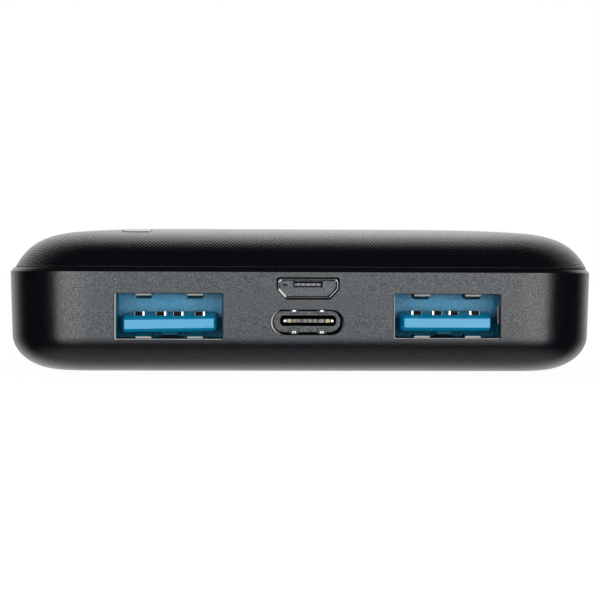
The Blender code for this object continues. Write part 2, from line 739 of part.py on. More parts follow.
def strip(name, x, width, thickness, profile, look):
    """A flat strip of even thickness that follows a side-view profile of (y, z) points."""
    shape = bmesh.new()
    verts = [shape.verts.new((x - width / 2, y, z)) for y, z in profile]
    edges = [shape.edges.new(pair) for pair in zip(verts, verts[1:])]
    swept = bmesh.ops.extrude_edge_only(shape, edges=edges)["geom"]
    moved = [item for item in swept if isinstance(item, bmesh.types.BMVert)]
    bmesh.ops.translate(shape, vec=(width, 0.0, 0.0), verts=moved)
    obj = solid(name, shape, look)
    modifier = obj.modifiers.new("thickness", "SOLIDIFY")
    modifier.thickness = thickness
    modifier.offset = 0.0
    modifier.use_even_offset = True
    return obj


def make_socket(name, outline, length, wall, shell_look):
    """A stamped shell of any outline, closed at the rear. outline takes a growth and a y."""
    shape = bmesh.new()
    add_prism(shape, outline(0.0, PORT_MOUTH), (0.0, length, 0.0))
    shell = solid(f"{name}_shell", shape, shell_look)
    hollow = bmesh.new()
    add_prism(hollow, outline(-wall, PORT_MOUTH - length), (0.0, 2 * length - wall, 0.0))
    boolean(shell, helper(f"{name}_hollow", hollow), "DIFFERENCE")
    smooth(shell)


def make_insulator(name, outline, length, wall, block_length, bar, look):
    """The plastic block at the back of a socket and the bar that stands out of it."""
    shape = bmesh.new()
    rear = PORT_MOUTH + length - wall - SEAT_GAP
    add_prism(shape, outline(-wall - SEAT_GAP, rear - block_length), (0.0, block_length, 0.0))
    insulator = solid(f"{name}_tongue", shape, look)
    tongue = bmesh.new()
    half, setback, low, high = bar
    add_box(
        tongue,
        (PORT_MIDDLE_X - half, PORT_MOUTH + setback, low),
        (PORT_MIDDLE_X + half, rear - block_length / 2, high),
    )
    boolean(insulator, helper(f"{name}_tongue_bar", tongue), "UNION")


def make_oval_socket(shell_look, tongue_look):
    make_socket("oval_socket", oval_socket_outline, OVAL_SOCKET_LENGTH, OVAL_SOCKET_WALL, shell_look)
    low = OVAL_SOCKET_LEVEL - OVAL_SOCKET_TONGUE_THICKNESS / 2
    high = OVAL_SOCKET_LEVEL + OVAL_SOCKET_TONGUE_THICKNESS / 2
    make_insulator(
        "oval_socket",
        oval_socket_outline,
        OVAL_SOCKET_LENGTH,
        OVAL_SOCKET_WALL,
        OVAL_SOCKET_BLOCK_LENGTH,
        (OVAL_SOCKET_TONGUE_WIDTH / 2, OVAL_SOCKET_TONGUE_SETBACK, low, high),
        tongue_look,
    )


def make_small_socket(shell_look, tongue_look):
    make_socket("small_socket", small_socket_outline, SMALL_SOCKET_LENGTH, SMALL_SOCKET_WALL, shell_look)
    high = SMALL_SOCKET_FOOT + SMALL_SOCKET_HEIGHT - SMALL_SOCKET_WALL - SMALL_SOCKET_TONGUE_DROP
    low = high - SMALL_SOCKET_TONGUE_THICKNESS
    make_insulator(
        "small_socket",
        small_socket_outline,
        SMALL_SOCKET_LENGTH,
        SMALL_SOCKET_WALL,
        SMALL_SOCKET_BLOCK_LENGTH,
        (SMALL_SOCKET_TONGUE_WIDTH / 2, SMALL_SOCKET_TONGUE_SETBACK, low, high),
        tongue_look,
    )


def make_screws(look):
    """Two pan-head screws that hold the board to the case's bosses, as turned profiles."""
    head_foot = BOARD_TOP + SEAT_GAP
    head_top = head_foot + SCREW_HEAD_HEIGHT
    tip = BOARD_TOP - SCREW_LENGTH
    profile = [
        (0.0, head_top),
        (SCREW_HEAD_FLAT, head_top),
        (SCREW_HEAD_RADIUS, head_foot + SCREW_HEAD_HEIGHT / 2),
        (SCREW_HEAD_RADIUS, head_foot),
        (SCREW_RADIUS, head_foot),
        (SCREW_RADIUS, tip + SCREW_RADIUS),
        (0.0, tip),
    ]
    for side, x in (("left", -SCREW_X), ("right", SCREW_X)):
        turned(f"board_screw_{side}", profile, x, SCREW_Y, look)


def turned(name, profile, x, y, look):
    """A profile of (radius, height) points, listed top to bottom, turned about an upright axis."""
    mesh = bpy.data.meshes.new(name)
    edges = [(i, i + 1) for i in range(len(profile) - 1)]
    mesh.from_pydata([(radius, 0.0, height) for radius, height in profile], edges, [])
    mesh.materials.append(look)
    obj = bpy.data.objects.new(name, mesh)
    obj.location = (x, y, 0.0)
    PARTS.objects.link(obj)
    lathe = obj.modifiers.new("lathe", "SCREW")
    lathe.steps = ROUND_STEPS
    lathe.render_steps = ROUND_STEPS
    lathe.use_merge_vertices = True
    lathe.merge_threshold = 0.00001
    return obj


def make_components(looks):
    """The larger components that stand on the board, and the chips under it."""
    base = BOARD_TOP + SEAT_GAP
    edge = SCREW_X - SCREW_HEAD_RADIUS - COMPONENT_GAP
    half = INDUCTOR_SIDE / 2
    for number in (1, 2):
        x = edge - half - (number - 1) * (INDUCTOR_SIDE + COMPONENT_GAP)
        low = (x - half, COMPONENT_Y - half, base)
        high = (x + half, COMPONENT_Y + half, base + INDUCTOR_HEIGHT)
        bevel(box(f"inductor_{number}", low, high, looks["inductor"]), INDUCTOR_EDGE, 1)
    can_y = COMPONENT_Y + INDUCTOR_SIDE / 2 - CAPACITOR_RADIUS
    for number in (1, 2):
        x = CAPACITOR_RADIUS - edge + (number - 1) * (2 * CAPACITOR_RADIUS + COMPONENT_GAP)
        top = base + CAPACITOR_HEIGHT
        profile = [
            (0.0, top),
            (CAPACITOR_RADIUS - CAPACITOR_EDGE, top),
            (CAPACITOR_RADIUS, top - CAPACITOR_EDGE),
            (CAPACITOR_RADIUS, base),
            (0.0, base),
        ]
        turned(f"capacitor_{number}", profile, x, can_y, looks["can"])
    half = CHIP_SIDE / 2
    for name, x in zip(("controller_chip", "protection_chip"), CHIP_X):
        low = (x - half, COMPONENT_Y - half, BOARD_BOTTOM - SEAT_GAP - CHIP_HEIGHT)
        high = (x + half, COMPONENT_Y + half, BOARD_BOTTOM - SEAT_GAP)
        box(name, low, high, looks["chip"])
    rear = COMPONENT_Y + INDUCTOR_SIDE / 2
    low = (SCREW_X - THERMISTOR_SIDE / 2, rear - THERMISTOR_LENGTH, base)
    high = (SCREW_X + THERMISTOR_SIDE / 2, rear, base + THERMISTOR_SIDE)
    box("thermistor", low, high, looks["chip"])


def cell_inset():
    """Room for square-ended cells under the dome and over the case's rounded floor edge."""
    floor = case_floor_inset(LOWER_CELL_BASE)
    dome = cover_inner_room(UPPER_CELL_TOP)
    return max(floor, dome) + CELL_CLEARANCE


def make_cells(looks):
    """Two pouch cells with tape between them and foam above and below."""
    half = BODY_WIDTH / 2 - cell_inset()
    rear = BODY_LENGTH / 2 - cell_inset()
    for name, base in (("cell_lower", LOWER_CELL_BASE), ("cell_upper", UPPER_CELL_BASE)):
        low = (-half, CELL_FRONT, base)
        high = (half, rear, base + CELL_THICKNESS)
        bevel(box(name, low, high, looks["pouch"]), CELL_EDGE)
    sheets = (
        ("cell_tape", LOWER_CELL_BASE + CELL_THICKNESS + SEAT_GAP, CELL_TAPE, CELL_TAPE_MARGIN, "tape"),
        ("lower_pad", FLOOR_WALL + SEAT_GAP, LOWER_PAD, PAD_MARGIN, "foam"),
        ("upper_pad", UPPER_CELL_TOP + SEAT_GAP, UPPER_PAD, PAD_MARGIN, "foam"),
    )
    for name, base, thickness, margin, look in sheets:
        low = (-half + margin, CELL_FRONT + margin, base)
        high = (half - margin, rear - margin, base + thickness)
        box(name, low, high, looks[look])
    make_tabs(looks["nickel"])
    make_card(half, looks["card"])


def make_tabs(look):
    """Nickel strips from the middle of each cell's front edge to the board's rear edge."""
    reach = CELL_FRONT - SEAT_GAP
    lap = BOARD_REAR - TAB_LAP
    half = TAB_THICKNESS / 2
    middles = (
        ("lower", LOWER_TAB_X, LOWER_CELL_BASE + CELL_THICKNESS / 2, BOARD_BOTTOM - SEAT_GAP - half),
        ("upper", UPPER_TAB_X, UPPER_CELL_BASE + CELL_THICKNESS / 2, BOARD_TOP + SEAT_GAP + half),
    )
    bend = CELL_BAY_GAP / 4
    for cell, places, level, seat in middles:
        profile = [(reach, level), (reach - 2 * bend, level), (reach - 3 * bend, seat), (lap, seat)]
        for pole, x in zip(("minus", "plus"), places):
            strip(f"{cell}_tab_{pole}", x, TAB_WIDTH, TAB_THICKNESS, profile, look)


def make_card(half, look):
    """An upright insulating card in front of the cells, notched where the tabs pass."""
    rear = CELL_FRONT - SEAT_GAP - CARD_MARGIN
    low = (-half + CARD_MARGIN, rear - CARD_THICKNESS, LOWER_CELL_BASE)
    high = (half - CARD_MARGIN, rear, UPPER_CELL_TOP)
    card = box("insulating_card", low, high, look)
    notches = bmesh.new()
    half_notch = TAB_WIDTH / 2 + CARD_NOTCH_MARGIN
    lower_level = LOWER_CELL_BASE + CELL_THICKNESS / 2
    upper_level = UPPER_CELL_BASE + CELL_THICKNESS / 2
    for places, low_z, high_z in (
        (LOWER_TAB_X, LOWER_CELL_BASE - CELL_THICKNESS, lower_level + CARD_NOTCH_MARGIN),
        (UPPER_TAB_X, upper_level - CARD_NOTCH_MARGIN, UPPER_CELL_TOP + CELL_THICKNESS),
    ):
        for x in places:
            add_box(
                notches,
                (x - half_notch, rear - CELL_BAY_GAP, low_z),
                (x + half_notch, rear + CELL_BAY_GAP, high_z),
            )
    boolean(card, helper("card_notches", notches), "DIFFERENCE")


def main():
    case_black = material("case_black", (0.012, 0.012, 0.013), 0.42)
    cover_black = material("cover_black", (0.010, 0.010, 0.011), 0.50)
    button_black = material("button_black", (0.015, 0.015, 0.016), 0.15)
    clear = material("light_guide_clear", (0.75, 0.78, 0.80), 0.25)
    steel = material("plated_steel", (0.62, 0.60, 0.56), 0.28, 1.0)
    blue = material("port_blue", (0.02, 0.22, 0.45), 0.45)
    gold = material("contact_gold", (0.80, 0.62, 0.30), 0.25, 1.0)
    grey = material("socket_grey", (0.06, 0.065, 0.07), 0.50)
    green = material("board_green", (0.01, 0.10, 0.05), 0.45)
    white = material("white_plastic", (0.80, 0.80, 0.78), 0.40)
    looks = {
        "inductor": material("ferrite_grey", (0.10, 0.10, 0.11), 0.60),
        "can": material("capacitor_can", (0.75, 0.75, 0.77), 0.25, 1.0),
        "chip": material("chip_black", (0.02, 0.02, 0.02), 0.55),
        "pouch": material("pouch_foil", (0.62, 0.63, 0.65), 0.35, 1.0),
        "tape": material("film_tape", (0.75, 0.72, 0.40), 0.40),
        "foam": material("foam_grey", (0.08, 0.08, 0.08), 0.90),
        "nickel": material("nickel_strip", (0.70, 0.68, 0.64), 0.30, 1.0),
        "card": material("fish_paper", (0.55, 0.62, 0.52), 0.80),
    }
    smooth(make_lower_case(case_black))
    smooth(make_top_cover(cover_black))
    make_button(button_black)
    make_switch(grey, white)
    make_lights(white, clear)
    make_board(green)
    for side, x in port_sides():
        make_wide_socket(side, x, steel, blue, gold)
    make_oval_socket(steel, grey)
    make_small_socket(steel, grey)
    make_screws(steel)
    make_components(looks)
    make_cells(looks)


clear_scene()
PARTS = collection("power_bank")
CUTTERS = collection("power_bank_cutters")
main()
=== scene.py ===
"""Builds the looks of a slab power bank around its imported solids.

Every new piece is a numpy surface: a rounded outline carried along a profile, worked out as whole arrays.
"""

import math

import bpy
import numpy as np
from bpy.props import FloatProperty, FloatVectorProperty, PointerProperty
from bpy.types import Operator, Panel, PropertyGroup
from mathutils import Matrix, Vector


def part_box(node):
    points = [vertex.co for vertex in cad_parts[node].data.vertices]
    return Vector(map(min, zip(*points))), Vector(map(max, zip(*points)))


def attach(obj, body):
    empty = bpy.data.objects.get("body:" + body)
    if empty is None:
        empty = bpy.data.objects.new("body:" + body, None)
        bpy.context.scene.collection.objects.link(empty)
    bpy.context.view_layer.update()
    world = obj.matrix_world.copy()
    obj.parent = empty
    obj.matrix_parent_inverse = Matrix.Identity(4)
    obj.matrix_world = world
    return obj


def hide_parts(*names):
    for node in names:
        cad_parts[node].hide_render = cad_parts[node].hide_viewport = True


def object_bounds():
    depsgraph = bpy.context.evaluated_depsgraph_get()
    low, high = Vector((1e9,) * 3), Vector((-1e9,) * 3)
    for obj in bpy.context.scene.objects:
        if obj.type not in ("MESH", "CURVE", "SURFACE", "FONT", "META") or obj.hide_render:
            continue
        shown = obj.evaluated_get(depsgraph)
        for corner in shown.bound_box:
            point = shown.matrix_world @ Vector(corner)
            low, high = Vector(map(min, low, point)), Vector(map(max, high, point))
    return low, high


bl_info = {
    "name": "Slab Power Bank",
    "version": (1, 0, 0),
    "blender": (4, 5, 0),
    "location": "3D View > Sidebar > Power Bank",
    "description": "Builds a slab power bank with a textured domed cover and a row of charging sockets",
    "category": "Add Mesh",
}

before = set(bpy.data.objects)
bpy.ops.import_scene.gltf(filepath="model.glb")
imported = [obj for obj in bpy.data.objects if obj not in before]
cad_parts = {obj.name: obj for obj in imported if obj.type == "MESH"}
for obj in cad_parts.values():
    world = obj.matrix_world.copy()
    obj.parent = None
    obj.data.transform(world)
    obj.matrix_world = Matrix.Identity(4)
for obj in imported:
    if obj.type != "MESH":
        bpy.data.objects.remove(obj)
CAD_LOW, CAD_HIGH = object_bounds()
HALF_WIDTH = (CAD_HIGH[0] - CAD_LOW[0]) / 2
HALF_LENGTH = (CAD_HIGH[1] - CAD_LOW[1]) / 2
FRONT = CAD_LOW[1]
BODY_TOP = CAD_HIGH[2]
MM = 0.001
RIM_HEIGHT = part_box("lower_case")[1][2] - 0.46 * MM
RIM_TOP = RIM_HEIGHT + 0.54 * MM
COVER_BASE = RIM_TOP + 0.02 * MM
SIDES = ("left", "right")
OVAL_FLARE = 0.16 * MM

# Scales of the streaks in rolled metal along X, Y and Z
DRAWN_LAY = (900.0, 6000.0, 6000.0)
STAMPED_LAY = (4000.0, 700.0, 4000.0)
PAD_LAY = (9000.0, 700.0, 9000.0)
EVEN_LAY = (2000.0, 2000.0, 2000.0)

# How each full-size socket sits off its solid, in millimetres; the share, tilt and pitch are plain factors
WIDE_FIT = {
    "left": {
        "mouth_shift": 0.16,
        "mouth_half": 6.55,
        "mouth_foot": 0.21,
        "lip_shown": 0.17,
        "rib_shift": 0.15,
        "tongue_shift": 0.12,
        "tongue_foot": 0.53,
        "tongue_share": 1.0,
        "tongue_tilt": 0.017,
        "contact_shift": 0.17,
        "contact_lift": 0.0,
        "contact_pitch": 1.06,
    },
    "right": {
        "mouth_shift": 0.075,
        "mouth_half": 6.515,
        "mouth_foot": 0.35,
        "lip_shown": 0.09,
        "rib_shift": 0.06,
        "tongue_shift": 0.10,
        "tongue_foot": 0.71,
        "tongue_share": 0.965,
        "tongue_tilt": 0.0,
        "contact_shift": -0.04,
        "contact_lift": 0.18,
        "contact_pitch": 1.03,
    },
}


# User settings


def length(name, description, default):
    """A size in metres."""
    return FloatProperty(
        name=name, description=description, default=default, unit="LENGTH", precision=5, step=0.01, min=0.0
    )


def share(name, description, default):
    """A plain number from 0 to 1."""
    return FloatProperty(
        name=name, description=description, default=default, min=0.0, max=1.0, subtype="FACTOR"
    )


def strength(name, description, default):
    """A brightness, where 1 is white."""
    return FloatProperty(name=name, description=description, default=default, min=0.0)


def colour(name, description, default):
    """A linear colour."""
    return FloatVectorProperty(
        name=name, description=description, default=default, size=3, min=0.0, max=1.0, subtype="COLOR"
    )


class CaseSettings(PropertyGroup):
    """Sizes and finish of the lower case."""

    corner_radius: length("Corner radius", "Plan radius of the upright corners at the rim", 0.0105)
    ledge: length("Ledge", "How far the cover stands in from the rim", 0.00050)
    edge_run: length("Bottom edge run", "How far the bottom edge curves in", 0.0063)
    edge_rise: length("Bottom edge rise", "How high the bottom edge curves up", 0.0045)
    draft: length("Side draft", "How far the sides lean in from the rim to the bottom edge", 0.00025)
    wall: length("Wall", "Thickness of the sides", 0.0018)
    floor: length("Floor", "Thickness of the floor", 0.0016)
    opening_lip: length("Opening lip", "Depth of the thin lip that frames each socket", 0.00046)
    opening_bevel: length("Opening bevel", "Width of the bevel round each socket opening", 0.00008)
    socket_gap: length("Socket gap", "Room between a socket and the wall behind the lip", 0.00004)
    grain: length("Grain", "Size of one grain of the moulded surface", 0.00017)
    grain_depth: length("Grain depth", "Depth of the moulded grain", 0.000018)
    roughness: share("Roughness", "How satin the plastic is", 0.21)
    gloss: share("Gloss", "Strength of the plastic's reflection", 0.70)
    plastic: colour("Plastic", "Colour of the case", (0.0014, 0.0014, 0.0027))


class CoverSettings(PropertyGroup):
    """Sizes and finish of the domed cover."""

    side_rise: length("Side rise", "Climb of the dome's steep flank", 0.0040)
    fade: length("Fade", "Distance in which the steep flank loses most of its slope", 0.00222)
    arch: length("Arch", "Climb of the shallow arch above the flank", 0.00128)
    reach: length("Dome reach", "How far in from its edge the dome climbs", 0.0265)
    shift: length("Shift", "How far the cover sits to the right of the case", 0.00012)
    wall: length("Wall", "Thickness of the cover", 0.0016)
    edge: length("Lower edge", "Radius of the cover's lower edge", 0.00010)
    lip_inset: length("Lip inset", "How far the lip under the cover stands in from the outline", 0.0021)
    lip_wall: length("Lip wall", "Thickness of the lip under the cover", 0.0010)
    lip_depth: length("Lip depth", "How far the lip reaches down inside the case", 0.0012)
    crown_corner: length("Crown corner", "Least plan radius of the corners, near the crown", 0.0030)
    diamond_width: length("Diamond width", "Width of one diamond of the texture", 0.00050)
    diamond_length: length("Diamond length", "Length of one diamond of the texture", 0.00076)
    diamond_depth: length("Diamond depth", "Depth of the texture", 0.000039)
    roughness: share("Roughness", "How satin the plastic is", 0.28)
    gloss: share("Gloss", "Strength of the plastic's reflection", 0.21)
    skin: share("Skin", "Strength of the smooth skin over the plastic", 0.56)
    skin_roughness: share("Skin roughness", "How satin the smooth skin is", 0.10)
    plastic: colour("Plastic", "Colour of the cover", (0.0015, 0.0015, 0.0029))


class ButtonSettings(PropertyGroup):
    """Sizes and finish of the power button and the charge lights."""

    gap: length("Gap", "Room round the button in the cover", 0.00010)
    proud: length("Proud", "How far the button stands above the cover", 0.00005)
    edge: length("Edge", "Radius of the button's upper edge", 0.00018)
    flange: length("Flange", "How far the hidden flange reaches out from the button's head", 0.0009)
    head_length: length("Head length", "Length of the button's head", 0.0056)
    corner: length("Corner", "Plan radius of the button's corners", 0.0006)
    light_dome: length("Light dome", "How far the middle of each charge light swells", 0.00006)
    plastic: colour("Plastic", "Colour of the button", (0.0110, 0.0110, 0.0120))
    clear: colour("Light guide", "Tint of the charge lights", (0.70, 0.72, 0.72))


class SocketSettings(PropertyGroup):
    """Sizes and finishes of the four sockets."""

    wide_corner: length("Wide socket corner", "Corner radius of the full-size shells", 0.00014)
    wide_wall: length("Wide socket wall", "Thickness of the full-size shells", 0.00028)
    mouth_setback: length("Mouth setback", "How far each shell stands back from its solid's front", 0.0002)
    tongue_corner: length("Tongue corner", "Corner radius of the blue tongues", 0.00055)
    steel: colour("Steel", "Colour of the shells", (0.25, 0.235, 0.215))
    blue: colour("Blue", "Colour of the full-size tongues", (0.004, 0.40, 0.72))
    wall: colour("Blue wall", "Colour of the grained wall behind each full-size tongue", (0.010, 0.28, 0.49))
    contact: colour("Contact", "Colour of the full-size contacts", (0.74, 0.70, 0.64))
    gold: colour("Gold", "Colour of the small contacts", (0.72, 0.58, 0.36))
    dark: colour("Dark insulator", "Colour of the small tongues", (0.006, 0.006, 0.007))


class StageSettings(PropertyGroup):
    """Floor, lights and camera."""

    floor: colour("Floor", "Colour of the floor", (0.80, 0.80, 0.80))
    front_light: strength("Front light", "Brightness straight ahead", 2.7)
    side_light: strength("Side light", "Brightness to each side", 3.65)
    fill_light: strength("Fill light", "Brightness that plain colours see", 3.2)
    front_tint: colour("Front tint", "Colour of the lamp straight ahead", (0.86, 0.95, 1.0))
    side_tint: colour("Side tint", "Colour of the lamps to each side", (0.97, 0.98, 1.0))
    lens: FloatProperty(name="Lens", description="Focal length in millimetres", default=108.83, min=1.0)
    camera: FloatVectorProperty(
        name="Camera",
        description="Place of the camera",
        default=(-0.009083, -0.300967, 0.011993),
        unit="LENGTH",
    )
    turn: FloatVectorProperty(
        name="Camera turn",
        description="Yaw to the right, pitch up and roll of the camera",
        default=(0.03845, -0.0134, 0.0036),
        unit="ROTATION",
    )


# Surfaces


class Shape:
    """Points and faces gathered patch by patch, each patch as whole arrays."""

    def __init__(self):
        self.points = []
        self.maps = []
        self.quads = []
        self.caps = []
        self.total = 0

    def sweep(self, points, flat=None):
        """Adds rings of points, one row a ring, with a quad between each pair of rings and neighbours.

        One flat face closes the first ring and another the last. The optional flat array is the unrolled
        place of every point, for the surface's own pattern.
        """
        rows, columns, _ = points.shape
        row, column = np.meshgrid(np.arange(rows - 1), np.arange(columns), indexing="ij")
        following = (column + 1) % columns
        corners = (
            row * columns + column,
            row * columns + following,
            (row + 1) * columns + following,
            (row + 1) * columns + column,
        )
        self.quads.append(self.total + np.stack(corners, axis=-1).reshape(-1, 4))
        self.caps.append(self.total + np.arange(columns)[::-1])
        self.caps.append(self.total + (rows - 1) * columns + np.arange(columns))
        self.points.append(points.reshape(-1, 3))
        self.maps.append((points[..., :2] if flat is None else flat).reshape(-1, 2))
        self.total += rows * columns

    def mesh(self, name):
        """Puts the gathered arrays into a new mesh, with the unrolled places as its UV map."""
        points = np.concatenate(self.points)
        quads = np.concatenate(self.quads)
        loops = np.concatenate([quads.ravel(), *self.caps])
        sizes = np.concatenate([np.full(len(quads), 4), [len(cap) for cap in self.caps]]).astype(np.int32)
        starts = np.concatenate([[0], np.cumsum(sizes)[:-1]]).astype(np.int32)
        mesh = bpy.data.meshes.new(name)
        mesh.vertices.add(len(points))
        mesh.vertices.foreach_set("co", points.astype(np.float32).ravel())
        mesh.loops.add(len(loops))
        mesh.loops.foreach_set("vertex_index", loops.astype(np.int32))
        mesh.polygons.add(len(sizes))
        mesh.polygons.foreach_set("loop_start", starts)
        layer = mesh.uv_layers.new(name="surface")
        layer.data.foreach_set("uv", np.concatenate(self.maps)[loops].astype(np.float32).ravel())
        mesh.update(calc_edges=True)
        if mesh.validate():
            raise RuntimeError(f"{name} has broken faces")
        return mesh


def soften(mesh, angle=32.0):
    """Smooth shading, with every edge sharper than the angle left crisp."""
    mesh.polygons.foreach_set("use_smooth", np.ones(len(mesh.polygons), dtype=bool))
    mesh.set_sharp_from_angle(angle=math.radians(angle))


def add_piece(name, shape, finish, body, nodes=()):
    """Links a shape as a piece that moves with a body and stands for the named solids."""
    piece = bpy.data.objects.new(name, shape.mesh(name))
    bpy.context.scene.collection.objects.link(piece)
    soften(piece.data)
    piece.data.materials.append(finish)
    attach(piece, body)
    if nodes:
        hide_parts(*nodes)
    return piece


def cut_openings(piece, cutter_shape):
    """Takes the cutter's closed forms out of a piece and applies the result."""
    cutter = bpy.data.objects.new("cutter", cutter_shape.mesh("cutter"))
    bpy.context.scene.collection.objects.link(cutter)
    modifier = piece.modifiers.new("openings", "BOOLEAN")
    modifier.operation = "DIFFERENCE"
    modifier.solver = "EXACT"
    modifier.object = cutter
    graph = bpy.context.evaluated_depsgraph_get()
    finished = bpy.data.meshes.new_from_object(
        piece.evaluated_get(graph), preserve_all_data_layers=True, depsgraph=graph
    )
    piece.modifiers.clear()
    whole = piece.data
    piece.data = finished
    finished.name = piece.name
    bpy.data.meshes.remove(whole)
    bpy.data.objects.remove(cutter)
    if len(finished.polygons) == 0:
        raise RuntimeError(f"{piece.name} was lost while its openings were cut")
    soften(finished)


def body_outline(corner_points=18, front_points=52, side_points=90):
    """Outline of the body in plan, anticlockwise: share of the way to a corner's centre, and outward normal.

    Round a corner the share stays put and the normal turns by a quarter. Along a straight the normal stays
    put and the share runs from one corner's centre to the next.
    """
    signs = np.array([(1, -1), (1, 1), (-1, 1), (-1, -1)], dtype=float)
    centres = []
    normals = []
    for corner in range(4):
        angles = np.linspace(0, math.pi / 2, corner_points) + (corner - 1) * math.pi / 2
        centres.append(np.repeat(signs[corner : corner + 1], corner_points, axis=0))
        normals.append(np.stack([np.cos(angles), np.sin(angles)], axis=-1))
        count = side_points if corner % 2 == 0 else front_points
        way = np.linspace(0, 1, count + 2)[1:-1, None]
        centres.append(signs[corner] * (1 - way) + signs[(corner + 1) % 4] * way)
        normals.append(np.repeat(normals[-1][-1:], count, axis=0))
    return np.concatenate(centres), np.concatenate(normals)


def body_rings(outline, inset, radius, level):
    """Rings of a rounded rectangle in plan, one for each step of a profile.

    A point is the corner centre's share of the half sizes, less the inset and radius, plus the radius along
    the normal. All three profile values are arrays of one length.
    """
    centres, normals = outline
    inset = np.asarray(inset)[:, None]
    radius = np.asarray(radius)[:, None]
    x = (HALF_WIDTH - inset - radius) * centres[:, 0] + radius * normals[:, 0]
    y = (HALF_LENGTH - inset - radius) * centres[:, 1] + radius * normals[:, 1]
    z = np.broadcast_to(np.asarray(level)[:, None], x.shape)
    return np.stack([x, y, z], axis=-1)


def rounded_outline(corners, radius, arc_points=7, run_points=4):
    """Outline with rounded corners, anticlockwise: its points and their outward normals.

    A point lies one radius along its normal from a centre. At each corner the normal turns from one side's
    to the next while the centre stays put. Along each side the centre runs on while the normal stays put.
    """
    corners = np.asarray(corners, dtype=float)
    radius = np.broadcast_to(np.asarray(radius, dtype=float), (len(corners),))[:, None]
    ahead = np.roll(corners, -1, axis=0) - corners
    ahead /= np.linalg.norm(ahead, axis=1, keepdims=True)
    after = np.stack([ahead[:, 1], -ahead[:, 0]], axis=-1)
    before = np.roll(after, 1, axis=0)
    spread = 1 + np.sum(before * after, axis=1, keepdims=True)
    middles = corners - radius * (before + after) / spread
    start = np.arctan2(before[:, 1], before[:, 0])
    turn = np.mod(np.arctan2(after[:, 1], after[:, 0]) - start, 2 * math.pi)
    angles = start[:, None] + turn[:, None] * np.linspace(0, 1, arc_points)
    arc_centres = np.repeat(middles[:, None], arc_points, axis=1)
    arc_normals = np.stack([np.cos(angles), np.sin(angles)], axis=-1)
    arc_radii = np.repeat(radius, arc_points, axis=1)
    way = np.linspace(0, 1, run_points + 2)[1:-1]
    onward = np.roll(middles, -1, axis=0)
    run_centres = middles[:, None] * (1 - way[:, None]) + onward[:, None] * way[:, None]
    run_normals = np.repeat(after[:, None], run_points, axis=1)
    run_radii = radius * (1 - way) + np.roll(radius, -1, axis=0) * way
    centres = np.concatenate([arc_centres, run_centres], axis=1).reshape(-1, 2)
    normals = np.concatenate([arc_normals, run_normals], axis=1).reshape(-1, 2)
    radii = np.concatenate([arc_radii, run_radii], axis=1).reshape(-1, 1)
    return centres + radii * normals, normals


def front_rings(outline, offset, depth):
    """Rings in the upright plane of the sockets, each grown by its offset and standing at its own depth."""
    points, normals = outline
    offset = np.asarray(offset, dtype=float)[:, None, None]
    flat = points + offset * normals
    y = np.broadcast_to(np.asarray(depth, dtype=float)[:, None], flat.shape[:2])
    return np.stack([flat[..., 0], y, flat[..., 1]], axis=-1)


def plan_rings(outline, offset, level):
    """Rings in plan, each grown by its offset and standing at its own level."""
    return front_rings(outline, offset, level)[..., [0, 2, 1]]


def rectangle(low_x, low_z, high_x, high_z):
    """Four corners, anticlockwise."""
    return [(low_x, low_z), (high_x, low_z), (high_x, high_z), (low_x, high_z)]


def dome_height(cover, inset):
    """Height of the cover at a distance in from its edge: a steep flank and a shallow arch added together.

    The flank is side_rise * (1 - exp(-inset / fade)) and the arch is arch * (1 - (1 - inset / reach) ** 2),
    which ends level at the dome's reach.
    """
    inset = np.clip(inset, 0.0, cover.reach)
    flank = cover.side_rise * (1 - np.exp(-inset / cover.fade))
    return COVER_BASE + flank + cover.arch * (1 - (1 - inset / cover.reach) ** 2)


def front_level(scene, y):
    """Height of the cover at a distance back along the body, away from its corners."""
    return dome_height(scene.power_bank_cover, y - FRONT - scene.power_bank_case.ledge)


# Finishes


def add_node(tree, kind, settings=None, **inputs):
    """Adds a node, with its own settings and the values of its named sockets."""
    node = tree.nodes.new(kind)
    for key, value in (settings or {}).items():
        setattr(node, key, value)
    for key, value in inputs.items():
        node.inputs[key.replace("_", " ")].default_value = value
    return node


def new_finish(name, base, roughness, metallic=0.0, specular=0.5):
    """A material with its constant values on the shader, and the shader to link patterns to."""
    finish = bpy.data.materials.new(name)
    finish.use_nodes = True
    tree = finish.node_tree
    shader = tree.nodes["Principled BSDF"]
    shader.inputs["Base Color"].default_value = (*base, 1.0)
    shader.inputs["Roughness"].default_value = roughness
    shader.inputs["Metallic"].default_value = metallic
    shader.inputs["Specular IOR Level"].default_value = specular
    return finish, tree, shader


def object_place(tree, scale):
    """Object coordinates, stretched along each axis."""
    place = add_node(tree, "ShaderNodeTexCoord")
    mapping = add_node(tree, "ShaderNodeMapping", Scale=scale)
    tree.links.new(place.outputs["Object"], mapping.inputs["Vector"])
    return mapping.outputs["Vector"]


def noise(tree, vector, detail=2.0, roughness=0.5):
    """Fine noise of one cell a unit of the vector."""
    texture = add_node(tree, "ShaderNodeTexNoise", Scale=1.0, Detail=detail, Roughness=roughness)
    tree.links.new(vector, texture.inputs["Vector"])
    return texture.outputs["Fac"]


def spread(tree, value, low, high, start=0.3, end=0.7):
    """A pattern's value spread between two numbers."""
    ranged = add_node(tree, "ShaderNodeMapRange", To_Min=low, To_Max=high, From_Min=start, From_Max=end)
    tree.links.new(value, ranged.inputs["Value"])
    return ranged.outputs["Result"]


def combine(tree, operation, *values):
    """One value made from one or two others, by an operation of the Math node."""
    node = add_node(tree, "ShaderNodeMath", {"operation": operation})
    for number, value in enumerate(values):
        tree.links.new(value, node.inputs[number])
    return node.outputs["Value"]


